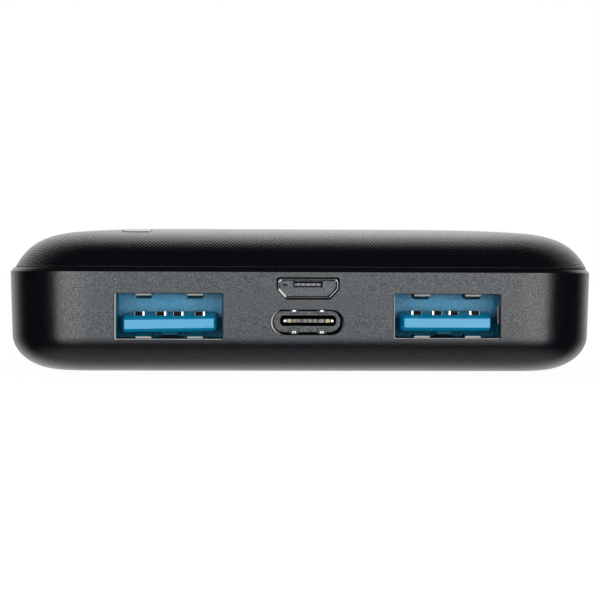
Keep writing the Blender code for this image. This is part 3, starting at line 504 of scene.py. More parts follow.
def tint(tree, value, low, high, start=0.3, end=0.7):
    """A pattern's value as a colour between two colours."""
    ramp = add_node(tree, "ShaderNodeValToRGB")
    ramp.color_ramp.elements[0].position = start
    ramp.color_ramp.elements[0].color = (*low, 1.0)
    ramp.color_ramp.elements[1].position = end
    ramp.color_ramp.elements[1].color = (*high, 1.0)
    tree.links.new(value, ramp.inputs["Fac"])
    return ramp.outputs["Color"]


def relief(tree, shader, height, depth, strength=1.0):
    """Bump of a given depth in metres, on the surface and on its clear coat."""
    bump = add_node(tree, "ShaderNodeBump", Strength=strength, Distance=depth)
    tree.links.new(height, bump.inputs["Height"])
    for name in ("Normal", "Coat Normal"):
        tree.links.new(bump.outputs["Normal"], shader.inputs[name])


def lighter(base, amount):
    """A colour made lighter or darker by a factor."""
    return tuple(min(value * amount, 1.0) for value in base)


def vary_colour(tree, shader, value, base, swing):
    """Lets the base colour swing about its own value with a pattern."""
    colours = tint(tree, value, lighter(base, 1 / swing), lighter(base, swing))
    tree.links.new(colours, shader.inputs["Base Color"])


def moulded(name, base, roughness, grain, depth, specular=0.5, swing=1.35, sparkle=0.1):
    """Moulded plastic: fine spark-eroded grain in its relief and gloss, with slow changes of roughness."""
    finish, tree, shader = new_finish(name, base, roughness, specular=specular)
    fine = noise(tree, object_place(tree, (1 / grain,) * 3), detail=2.0, roughness=0.6)
    slow = noise(tree, object_place(tree, (90.0,) * 3), detail=2.0)
    vary_colour(tree, shader, fine, base, swing)
    tree.links.new(spread(tree, slow, roughness * 0.92, roughness * 1.08), shader.inputs["Roughness"])
    gloss = spread(tree, fine, specular * (1 - sparkle), specular * (1 + sparkle))
    tree.links.new(gloss, shader.inputs["Specular IOR Level"])
    relief(tree, shader, fine, depth)
    return finish


def rolled_metal(name, base, roughness, lay, depth=0.000002, swing=1.12):
    """Plated or rolled metal: faint streaks along the way that it was rolled."""
    finish, tree, shader = new_finish(name, base, roughness, metallic=1.0)
    streaks = noise(tree, object_place(tree, lay), detail=3.0, roughness=0.6)
    vary_colour(tree, shader, streaks, base, swing)
    tree.links.new(spread(tree, streaks, roughness * 0.75, roughness * 1.25), shader.inputs["Roughness"])
    relief(tree, shader, streaks, depth)
    return finish


def matte_black(name):
    """A dull black with a trace of dust; deep in a slot it is painted shade for the slot's unlit depth."""
    finish, tree, shader = new_finish(name, (0.001, 0.001, 0.001), 0.9, specular=0.02)
    dust = noise(tree, object_place(tree, (5000.0,) * 3))
    tree.links.new(tint(tree, dust, (0.0008,) * 3, (0.003,) * 3), shader.inputs["Base Color"])
    return finish


def diamond_plastic(name, cover):
    """Black plastic under a smoother skin, with a net of small diamonds on the dome's unrolled surface.

    The height is the lesser of two folded sines, of the sum and of the difference of the unrolled places, so
    that it falls to a groove along each slanting line. Fine noise adds a quarter of its own value.
    """
    finish, tree, shader = new_finish(name, cover.plastic, cover.roughness, specular=cover.gloss)
    shader.inputs["Coat Weight"].default_value = cover.skin
    shader.inputs["Coat Roughness"].default_value = cover.skin_roughness
    place = add_node(tree, "ShaderNodeUVMap", {"uv_map": "surface"})
    scale = (math.pi / cover.diamond_width, math.pi / cover.diamond_length, 1.0)
    mapping = add_node(tree, "ShaderNodeMapping", Scale=scale)
    axes = add_node(tree, "ShaderNodeSeparateXYZ")
    tree.links.new(place.outputs["UV"], mapping.inputs["Vector"])
    tree.links.new(mapping.outputs["Vector"], axes.inputs["Vector"])
    waves = []
    for operation in ("ADD", "SUBTRACT"):
        way = combine(tree, operation, axes.outputs["X"], axes.outputs["Y"])
        waves.append(combine(tree, "ABSOLUTE", combine(tree, "SINE", way)))
    net = combine(tree, "MINIMUM", *waves)
    fine = noise(tree, object_place(tree, (8000.0,) * 3))
    height = combine(tree, "ADD", net, spread(tree, fine, 0.0, 0.25, 0.0, 1.0))
    satin = spread(tree, fine, cover.roughness * 0.85, cover.roughness * 1.15)
    tree.links.new(satin, shader.inputs["Roughness"])
    ridges = spread(tree, net, 0.75 * cover.gloss, 1.2 * cover.gloss, 0.0, 0.8)
    tree.links.new(ridges, shader.inputs["Specular IOR Level"])
    relief(tree, shader, height, cover.diamond_depth)
    return finish


# Pieces


def stations(rows, arc_points=6, run_points=4):
    """Rings of a rounded rectangle that changes on its way to the front.

    Each row gives one ring: left, foot, right, top, corner radius and depth.
    """
    rings = []
    for left, foot, right, top, radius, depth in rows:
        points, _ = rounded_outline(rectangle(left, foot, right, top), radius, arc_points, run_points)
        rings.append(np.insert(points, 1, depth, axis=1))
    return np.stack(rings)


def add_bar(shape, left, foot, right, top, radius, rear, front, edge):
    """A straight bar with rounded corners and a small bevel round its front."""
    rows = [
        (left, foot, right, top, radius, rear),
        (left, foot, right, top, radius, front + edge),
        (left + edge, foot + edge, right - edge, top - edge, max(radius - edge, 0.01 * MM), front),
    ]
    shape.sweep(stations(rows))


def add_bead(shape, x, depth, z, radius):
    """A small ball, as circles whose radius follows a half turn from its rear to its front."""
    turn = np.linspace(0.12, math.pi - 0.12, 9)
    reach = radius * np.sin(turn)
    places = depth + radius * np.cos(turn)
    rows = [(x - r, z - r, x + r, z + r, 0.999 * r, y) for r, y in zip(reach, places)]
    shape.sweep(stations(rows, arc_points=5, run_points=1))


def add_plate(shape, corners, rear, front):
    """A flat plate of any convex outline that faces the front."""
    outline = rounded_outline(corners, 0.02 * MM, arc_points=3, run_points=1)
    shape.sweep(front_rings(outline, [0, 0], [rear, front]))


def wide_mouth(side):
    """Left, foot, right and top of the room inside a full-size shell, a little beside its solid."""
    low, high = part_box(f"wide_socket_{side}_shell")
    fit = WIDE_FIT[side]
    middle = (low[0] + high[0]) / 2 + fit["mouth_shift"] * MM
    half = fit["mouth_half"] * MM
    foot = low[2] + fit["mouth_foot"] * MM
    return middle - half, foot, middle + half, high[2] + 0.04 * MM


def wide_opening(side):
    """Left, foot, right and top of a full-size opening, which shows the shell's lip at the left and foot."""
    left, foot, right, top = wide_mouth(side)
    hidden = 0.02 * MM
    return left - WIDE_FIT[side]["lip_shown"] * MM, foot - 0.12 * MM, right - hidden, top - hidden


def oval_opening():
    """Left, foot, right and top of the oval opening, which lets a crescent of the shell show at the left."""
    low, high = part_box("oval_socket_shell")
    return low[0] - 0.09 * MM, low[2] + 0.10 * MM, high[0] - 0.10 * MM, high[2] - 0.15 * MM


def oval_outline(grow=0.0):
    """Face of the oval shell: a slot with half-round ends."""
    low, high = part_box("oval_socket_shell")
    corners = rectangle(low[0] - grow, low[2] - grow, high[0] + grow, high[2] + grow)
    return rounded_outline(corners, 0.999 * ((high[2] - low[2]) / 2 + grow), arc_points=14, run_points=6)


def small_corners():
    """Corners of the small shell's face: wide at the top, with its lower corners cut away."""
    low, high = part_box("small_socket_shell")
    middle = (low[0] + high[0]) / 2
    foot = 2.7 * MM
    shoulder = high[2] - 1.4 * MM
    return [
        (middle - foot, low[2]),
        (middle + foot, low[2]),
        (high[0], shoulder),
        (high[0], high[2]),
        (low[0], high[2]),
        (low[0], shoulder),
    ]


def small_outline(grow=0.0):
    """Face of the small shell with its corners rounded, grown all round."""
    points, normals = rounded_outline(small_corners(), 0.30 * MM, arc_points=6, run_points=5)
    return points + grow * normals, normals


class POWERBANK_OT_lower_case(Operator):
    """Builds the tub with its rolled bottom edge, bevelled rim and socket openings"""

    bl_idname = "powerbank.lower_case"
    bl_label = "Lower Case"

    def execute(self, context):
        case = context.scene.power_bank_case
        inset, level = self.profile(case)
        radius = np.maximum(case.corner_radius - inset, case.wall)
        shape = Shape()
        shape.sweep(body_rings(body_outline(), inset, radius, level))
        finish = moulded(
            "case_satin_plastic",
            case.plastic,
            case.roughness,
            case.grain,
            case.grain_depth,
            specular=case.gloss,
            sparkle=0.45,
        )
        piece = add_piece("lower_case_shell", shape, finish, "case", ["lower_case"])
        cut_openings(piece, self.openings(context.scene))
        return {"FINISHED"}

    def profile(self, case):
        """Inset and level up the outside, over the bevelled rim and down the inside."""
        turn = np.linspace(0, math.pi / 2, 22)
        inset = [case.draft + case.edge_run * (1 - np.sin(turn))]
        level = [case.edge_rise * (1 - np.cos(turn))]
        rise = 1 - (1 - np.linspace(0, 1, 9)[1:]) ** 3
        inset.append(case.draft * (1 - rise))
        level.append(case.edge_rise + (RIM_HEIGHT - case.edge_rise) * rise)
        over = np.linspace(0, math.pi / 2, 12)[1:]
        inset.append(case.ledge * (1 - np.cos(over) ** 1.85))
        level.append(RIM_HEIGHT + (RIM_TOP - RIM_HEIGHT) * np.sin(over) ** 1.85)
        inner_rise = np.linspace(0, 1, 6)
        curve = np.linspace(math.pi / 2, 0, 8)[1:]
        inner_run = case.edge_run - case.wall
        inset.append(case.wall + case.draft * inner_rise)
        level.append(RIM_TOP + (case.edge_rise - RIM_TOP) * inner_rise)
        inset.append(case.wall + case.draft + inner_run * (1 - np.sin(curve)))
        level.append(case.floor + (case.edge_rise - case.floor) * (1 - np.cos(curve)))
        return np.concatenate(inset), np.concatenate(level)

    def openings(self, scene):
        """Cutter for the four sockets: a thin framing lip with a small bevel, then room for the shell."""
        case = scene.power_bank_case
        sockets = scene.power_bank_sockets
        step = FRONT + case.opening_lip
        back = FRONT + 2.5 * case.wall
        cutter = Shape()
        for side in SIDES:
            grow = sockets.wide_wall + case.socket_gap
            left, foot, right, top = wide_mouth(side)
            room = (left - grow, foot - grow, right + grow, top + grow, sockets.wide_corner + grow)
            face = rounded_outline(rectangle(*wide_opening(side)), sockets.wide_corner, 6, 4)
            behind = stations([(*room, back), (*room, step)])
            cutter.sweep(np.concatenate([behind, self.frame_rings(case, face, step)]))
        left, foot, right, top = oval_opening()
        corners = rectangle(left, foot, right, top)
        face = rounded_outline(corners, 0.499 * (top - foot), arc_points=14, run_points=6)
        behind = front_rings(oval_outline(OVAL_FLARE + case.socket_gap), [0, 0], [back, step])
        cutter.sweep(np.concatenate([behind, self.frame_rings(case, face, step)]))
        cutter.sweep(self.frame_rings(case, small_outline(), back))
        return cutter

    def frame_rings(self, case, face, rear):
        """Rings from a rear depth out through the wall, widened at 45 degrees at its leaning face."""
        bevel = case.opening_bevel
        ahead = FRONT - case.wall
        rings = front_rings(face, [0, 0, bevel, bevel], [rear, FRONT + bevel, FRONT, ahead])
        rise = (rings[1:3, :, 2] - case.edge_rise) / (RIM_HEIGHT - case.edge_rise)
        rings[1:3, :, 1] += case.draft * (1 - np.clip(rise, 0.0, 1.0))
        return rings


class POWERBANK_OT_top_cover(Operator):
    """Builds the domed cover with its diamond texture, its lip, the button opening and the light openings"""

    bl_idname = "powerbank.top_cover"
    bl_label = "Top Cover"

    def execute(self, context):
        cover = context.scene.power_bank_cover
        button = context.scene.power_bank_button
        inset, height, radius = self.profile(context.scene.power_bank_case, cover)
        outline = body_outline()
        rings = body_rings(outline, inset, radius, height)
        rings[..., 0] += cover.shift
        steps = np.hypot(np.diff(inset), np.diff(height)) - np.abs(np.diff(inset))
        spare = np.concatenate([np.cumsum(steps[::-1])[::-1], [0]])
        unrolled = spare[:, None, None] * outline[1] + rings[..., :2]
        shape = Shape()
        shape.sweep(rings, flat=unrolled)
        finish = diamond_plastic("cover_diamond_plastic", cover)
        piece = add_piece("top_cover_shell", shape, finish, "case", ["top_cover"])
        cutter = Shape()
        span = [COVER_BASE - 2 * cover.lip_depth, BODY_TOP + cover.wall]
        for face in [button_outline(button, button.gap), *light_outlines(0.04 * MM)]:
            cutter.sweep(plan_rings(face, [0, 0], span))
        cut_openings(piece, cutter)
        return {"FINISHED"}

    def profile(self, case, cover):
        """Inset, level and corner radius: out along the inside, round the lip and up over the dome."""
        run = cover.reach * np.linspace(0, 1, 57) ** 2
        level = dome_height(cover, run)
        top = level[-1]
        lip_inner = cover.lip_inset + cover.lip_wall
        lip_foot = COVER_BASE - cover.lip_depth
        inner_inset = lip_inner + (case.ledge + cover.reach - lip_inner) * run[::-4] / cover.reach
        inner_level = COVER_BASE + (level[::-4] - COVER_BASE) * (1 - cover.wall / (top - COVER_BASE))
        lip_inset = [lip_inner, lip_inner, cover.lip_inset, cover.lip_inset]
        lip_level = [COVER_BASE, lip_foot, lip_foot, COVER_BASE]
        turn = np.linspace(0, math.pi / 2, 5)
        edge_inset = case.ledge + cover.edge * (1 - np.sin(turn))
        edge_level = COVER_BASE + cover.edge * (1 - np.cos(turn))
        above = level > COVER_BASE + 1.2 * cover.edge
        crown = np.linspace(case.ledge + cover.reach, HALF_WIDTH - 1.5 * MM, 10)[1:]
        inset = np.concatenate([inner_inset[:-1], lip_inset, edge_inset, case.ledge + run[above], crown])
        flat_top = np.full(len(crown), top)
        height = np.concatenate([inner_level[:-1], lip_level, edge_level, level[above], flat_top])
        radius = np.maximum(case.corner_radius - inset, cover.crown_corner)
        return inset, height, np.minimum(radius, 0.95 * (HALF_WIDTH - inset))


def button_outline(button, grow=0.0):
    """The button's rounded rectangle in plan, from the solid that ends in its flange."""
    low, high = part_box("button_cap")
    left = low[0] + button.flange - grow
    right = high[0] - button.flange + grow
    front = low[1] + button.flange - grow
    rear = low[1] + button.flange + button.head_length + grow
    corners = rectangle(left, front, right, rear)
    return rounded_outline(corners, button.corner + grow, arc_points=8, run_points=10)


def light_outlines(grow=0.0):
    """Round faces of the four charge lights, from the light emitters under them."""
    faces = []
    for number in range(1, 5):
        low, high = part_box(f"led_{number}")
        x = (low[0] + high[0]) / 2
        y = (low[1] + high[1]) / 2
        reach = 0.9 * MM + grow
        corners = rectangle(x - reach, y - reach, x + reach, y + reach)
        faces.append(rounded_outline(corners, 0.999 * reach, arc_points=8, run_points=1))
    return faces


class POWERBANK_OT_button(Operator):
    """Builds the glossy power button, whose top follows the dome"""

    bl_idname = "powerbank.button"
    bl_label = "Power Button"

    def execute(self, context):
        button = context.scene.power_bank_button
        turn = np.linspace(0, math.pi / 2, 7)
        inner = np.linspace(button.edge, 1.5 * MM, 7)[1:]
        offset = np.concatenate([[0.0], -button.edge * (1 - np.cos(turn)), -inner])
        drop = np.concatenate([[0.0], -button.edge * (1 - np.sin(turn)), np.zeros(len(inner))])
        rings = plan_rings(button_outline(button), offset, drop)
        rings[1:, :, 2] += front_level(context.scene, rings[1:, :, 1]) + button.proud
        rings[0, :, 2] = COVER_BASE + 0.4 * MM
        shape = Shape()
        shape.sweep(rings)
        finish = moulded("button_gloss_plastic", button.plastic, 0.08, 0.6 * MM, 0.0005 * MM)
        add_piece("power_button", shape, finish, "button", ["button_cap"])
        return {"FINISHED"}


class POWERBANK_OT_charge_lights(Operator):
    """Builds the four clear charge lights"""

    bl_idname = "powerbank.charge_lights"
    bl_label = "Charge Lights"

    def execute(self, context):
        button = context.scene.power_bank_button
        low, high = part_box("light_guide")
        turn = np.linspace(0, math.pi / 2, 5)
        edge = 0.12 * MM
        offset = np.concatenate([[0.0], -edge * (1 - np.cos(turn)), [-0.4 * MM, -0.7 * MM]])
        face_level = front_level(context.scene, (low[1] + high[1]) / 2)
        level = np.concatenate([[low[2]], face_level - edge * (1 - np.sin(turn)), [face_level] * 2])
        swell = np.concatenate([np.zeros(6), [0.7 * button.light_dome, button.light_dome]])
        shape = Shape()
        for face in light_outlines():
            shape.sweep(plan_rings(face, offset, level - button.light_dome + swell))
        finish, tree, shader = new_finish("clear_light_guide", button.clear, 0.22)
        shader.inputs["Transmission Weight"].default_value = 0.45
        cloud = noise(tree, object_place(tree, (1800.0,) * 3))
        tree.links.new(spread(tree, cloud, 0.16, 0.30), shader.inputs["Roughness"])
        relief(tree, shader, cloud, 0.006 * MM)
        add_piece("charge_lights", shape, finish, "case", ["light_guide"])
        return {"FINISHED"}


def shell_tube(shape, outline, mouth, rear, outer, inner, flare=1.0 * MM):
    """A drawn sheet-metal tube: along the outside to its flared mouth, over a flat lip and back inside.

    outer and inner are the offsets of the two faces at the mouth from the outline.
    """
    edge = 0.04 * MM
    turn = np.linspace(0, math.pi / 2, 4)
    offset = [[0.0, 0.0], outer - edge * (1 - np.cos(turn)), inner + edge * (1 - np.sin(turn)), [inner]]
    depth = [
        [rear, mouth + 1.3 * flare],
        np.concatenate([[mouth + flare], (mouth + edge * (1 - np.sin(turn)))[1:]]),
        mouth + edge * (1 - np.cos(turn)),
        [rear - 0.2 * MM],
    ]
    rings = front_rings(outline, np.concatenate(offset), np.concatenate(depth))
    shape.sweep(rings)


def leaf(shape, low_x, high_x, path_y, path_z, thickness):
    """A flat strip carried along a path in depth and height, with a thin closed section."""
    path = np.stack([path_y, path_z], axis=-1)
    way = np.gradient(path, axis=0)
    way /= np.linalg.norm(way, axis=1, keepdims=True)
    side = np.stack([-way[:, 1], way[:, 0]], axis=-1) * thickness / 2
    edge = min(0.05 * MM, thickness / 3)
    across = np.array([low_x, low_x + edge, high_x - edge, high_x])
    section_x = np.concatenate([across, across[::-1]])
    section_s = np.array([-0.4, -1.0, -1.0, -0.4, 0.4, 1.0, 1.0, 0.4])
    x = np.broadcast_to(section_x, (len(path), len(section_x)))
    y = path[:, :1] + side[:, :1] * section_s
    z = path[:, 1:] + side[:, 1:] * section_s
    shape.sweep(np.stack([x, y, z], axis=-1))


class POWERBANK_OT_wide_sockets(Operator):
    """Builds both full-size sockets: steel shells with plug springs, blue tongues and boxed contacts"""

    bl_idname = "powerbank.wide_sockets"
    bl_label = "Full-size Sockets"

    def execute(self, context):
        settings = context.scene.power_bank_sockets
        grain = 0.16 * MM
        deep = 0.016 * MM
        # Painted shade: a darker, duller copy of the blue wall's plastic for the shaded places beside and
        # under each tongue.
        shaded = lighter(settings.wall, 0.55)
        steel = rolled_metal("shell_plated_steel", settings.steel, 0.30, DRAWN_LAY)
        blue = moulded("tongue_blue_plastic", settings.blue, 0.22, grain, 0.006 * MM, 0.9, 1.12)
        wall = moulded("wall_blue_plastic", settings.wall, 0.42, grain, deep, 0.75, 1.2, 0.3)
        shade = moulded("wall_painted_shade", shaded, 0.42, grain, deep, 0.15, 1.2)
        plate = rolled_metal("contact_bright_plate", settings.contact, 0.28, STAMPED_LAY, swing=1.2)
        # Painted shade: near-black plastic for the shade inside each contact box and in the notch under each
        # rib.
        dark = moulded("contact_painted_shade", settings.dark, 0.6, 0.1 * MM, 0.004 * MM, specular=0.1)
        for side in SIDES:
            self.shell(settings, side, steel)
            self.wall(side, wall, shade, dark)
            self.tongue(settings, side, blue)
            self.contacts(side, plate, dark)
        return {"FINISHED"}

    def shell(self, settings, side, finish):
        """The drawn tube and four bent springs that hold a plug; the right one has a fifth at its side."""
        node = f"wide_socket_{side}_shell"
        low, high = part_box(node)
        left, foot, right, top = wide_mouth(side)
        mouth = low[1] + settings.mouth_setback
        corners = rectangle(left, foot, right, top)
        outline = rounded_outline(corners, settings.wide_corner, arc_points=8, run_points=6)
        shape = Shape()
        shell_tube(shape, outline, mouth, high[1], settings.wide_wall, -0.01 * MM)
        middle = (left + right) / 2
        half = 0.97 * MM
        offset = 3.15 * MM
        thickness = 0.22 * MM
        start = mouth + 0.02 * MM
        way = np.array([0.0, 0.12, 0.35, 0.8, 1.4, 2.2, 3.2, 4.4]) * MM
        dip = np.array([0.15, 0.16, 0.26, 0.46, 0.56, 0.44, 0.20, 0.02]) * MM
        for spring_x in (middle - offset, middle + offset):
            for wall_z, inward in ((foot, 1), (top, -1)):
                path_y = start + way[::inward]
                path_z = wall_z + inward * dip[::inward]
                leaf(shape, spring_x - half, spring_x + half, path_y, path_z, thickness)
        if side == "right":
            edge = right - 0.24 * MM
            sides = (edge, foot + 1.75 * MM, edge + 0.10 * MM, top - 1.5 * MM)
            add_bar(shape, *sides, 0.03 * MM, mouth + 3.0 * MM, mouth + 0.5 * MM, 0.02 * MM)
        add_piece(f"wide_socket_{side}_steel", shape, finish, "case", [node])

    def wall(self, side, finish, shade, dark):
        """The grained back wall; sheets of painted shade, a darker copy of the wall's plastic, beside and
        under the tongue; a short rib in the same painted shade; and a dark notch filled with a block of
        painted shade.
        """
        low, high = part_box(f"wide_socket_{side}_tongue")
        left, foot, right, top = wide_mouth(side)
        front = high[1] - 8.4 * MM
        gap = 0.03 * MM
        edge = 0.05 * MM
        shape = Shape()
        add_bar(shape, left + gap, foot + gap, right - gap, top - gap, 0.1 * MM, high[1], front, 0.02 * MM)
        # Painted shade: darker sheets in front of the wall, under the tongue and along both inner sides,
        # where shade falls.
        shade_sheets = Shape()
        under = low[2] + 2.4 * MM
        add_bar(shade_sheets, left + gap, foot + gap, right - gap, under, edge, front, front - gap, gap / 3)
        for x, start in ((left + gap, 0.3), (right - 3 * gap, 1.6)):
            tip = low[1] + start * MM
            add_bar(shade_sheets, x, foot + gap, x + 2 * gap, top - gap, gap / 2, front, tip, gap / 3)
        middle = (low[0] + high[0]) / 2 + WIDE_FIT[side]["rib_shift"] * MM
        half = 0.96 * MM
        rib_left, rib_right = middle - half, middle + half
        rib_foot, rib_top = foot + 0.36 * MM, foot + 0.9 * MM
        rib_front, notch_front = low[1] + 3.0 * MM, low[1] + 2.6 * MM
        # The rib is real; it takes the same painted shade as the sheets.
        add_bar(shade_sheets, rib_left, rib_foot, rib_right, rib_top, edge, front, rib_front, edge)
        add_piece(f"wide_socket_{side}_wall", shape, finish, "case")
        add_piece(f"wide_socket_{side}_lining", shade_sheets, shade, "case")
        # Painted shade: a dark block under the rib stands for the shade in the notch.
        notch = Shape()
        add_bar(notch, rib_left, foot + gap, rib_right, rib_foot, 0.1 * MM, front, notch_front, edge)
        add_piece(f"wide_socket_{side}_notch", notch, dark, "case")

    def tongue(self, settings, side, finish):
        """The blue tongue with long sloping sides; the left one sits slightly askew.

        Each row of the profile gives half the width, the foot, the top, a share of the corner radius and the
        depth behind the solid's front.
        """
        node = f"wide_socket_{side}_tongue"
        low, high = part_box(node)
        fit = WIDE_FIT[side]
        middle = (low[0] + high[0]) / 2 + fit["tongue_shift"] * MM
        foot = low[2] + fit["tongue_foot"] * MM
        profile = (
            (5.90, 0.00, 2.42, 1.0, 8.0),
            (5.90, 0.00, 2.42, 1.0, 3.2),
            (5.88, 0.00, 2.12, 1.0, 2.0),
            (5.86, 0.03, 2.08, 1.0, 1.7),
            (5.50, 0.50, 1.66, 0.2, 0.04),
            (5.46, 0.54, 1.62, 0.1, 0.0),
        )
        rows = []
        for half, low_z, high_z, share_round, depth in profile:
            reach = fit["tongue_share"] * half * MM
            radius = share_round * settings.tongue_corner
            face = (middle - reach, foot + low_z * MM, middle + reach, foot + high_z * MM)
            rows.append((*face, radius, low[1] + depth * MM))
        rings = stations(rows, arc_points=8, run_points=8)
        rings[..., 2] += fit["tongue_tilt"] * (rings[..., 0] - middle)
        shape = Shape()
        shape.sweep(rings)
        add_piece(f"wide_socket_{side}_blue", shape, finish, "case", [node])

    def contacts(self, side, finish, shade_finish):
        """Four contacts, each a folded box open to the front, with its thicker wall towards the middle and a
        dark plug of painted shade inside.
        """
        thick, thin = 0.25 * MM, 0.05 * MM
        left_wall, right_wall = (thin, thick) if side == "left" else (thick, thin)
        fit = WIDE_FIT[side]
        lift = fit["contact_lift"] * MM
        half = 0.63 * MM
        bevel = 0.03 * MM
        outer_corner, rim_corner, inner_corner = 0.10 * MM, 0.06 * MM, 0.04 * MM
        low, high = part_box(f"wide_socket_{side}_tongue")
        middle = (low[0] + high[0]) / 2
        shade_plugs = Shape()
        for number in range(1, 5):
            node = f"wide_socket_{side}_contact_{number}"
            low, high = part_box(node)
            off_middle = (low[0] + high[0]) / 2 - middle
            x = middle + fit["contact_pitch"] * off_middle + fit["contact_shift"] * MM
            left, right = x - half, x + half
            foot, top = low[2] - 0.22 * MM + lift, low[2] + 0.36 * MM + lift
            front, rear = low[1], high[1]
            inside = (left + left_wall, foot + thin, right - right_wall, top - thin)
            rows = [
                (left, foot, right, top, outer_corner, rear),
                (left, foot, right, top, outer_corner, front + bevel),
                (left + bevel, foot + bevel, right - bevel, top - bevel, rim_corner, front),
                (*inside, inner_corner, front + 0.01 * MM),
                (*inside, inner_corner, rear - 0.1 * MM),
            ]
            shape = Shape()
            shape.sweep(stations(rows))
            name = f"wide_socket_{side}_contact_box_{number}"
            add_piece(name, shape, finish, "case", [node])
            # Painted shade: a dark plug just behind each box's mouth stands for the shade inside the box.
            add_bar(shade_plugs, *inside, 0.03 * MM, rear - 0.2 * MM, front + 0.14 * MM, 0.01 * MM)
        add_piece(f"wide_socket_{side}_cores", shade_plugs, shade_finish, "case")


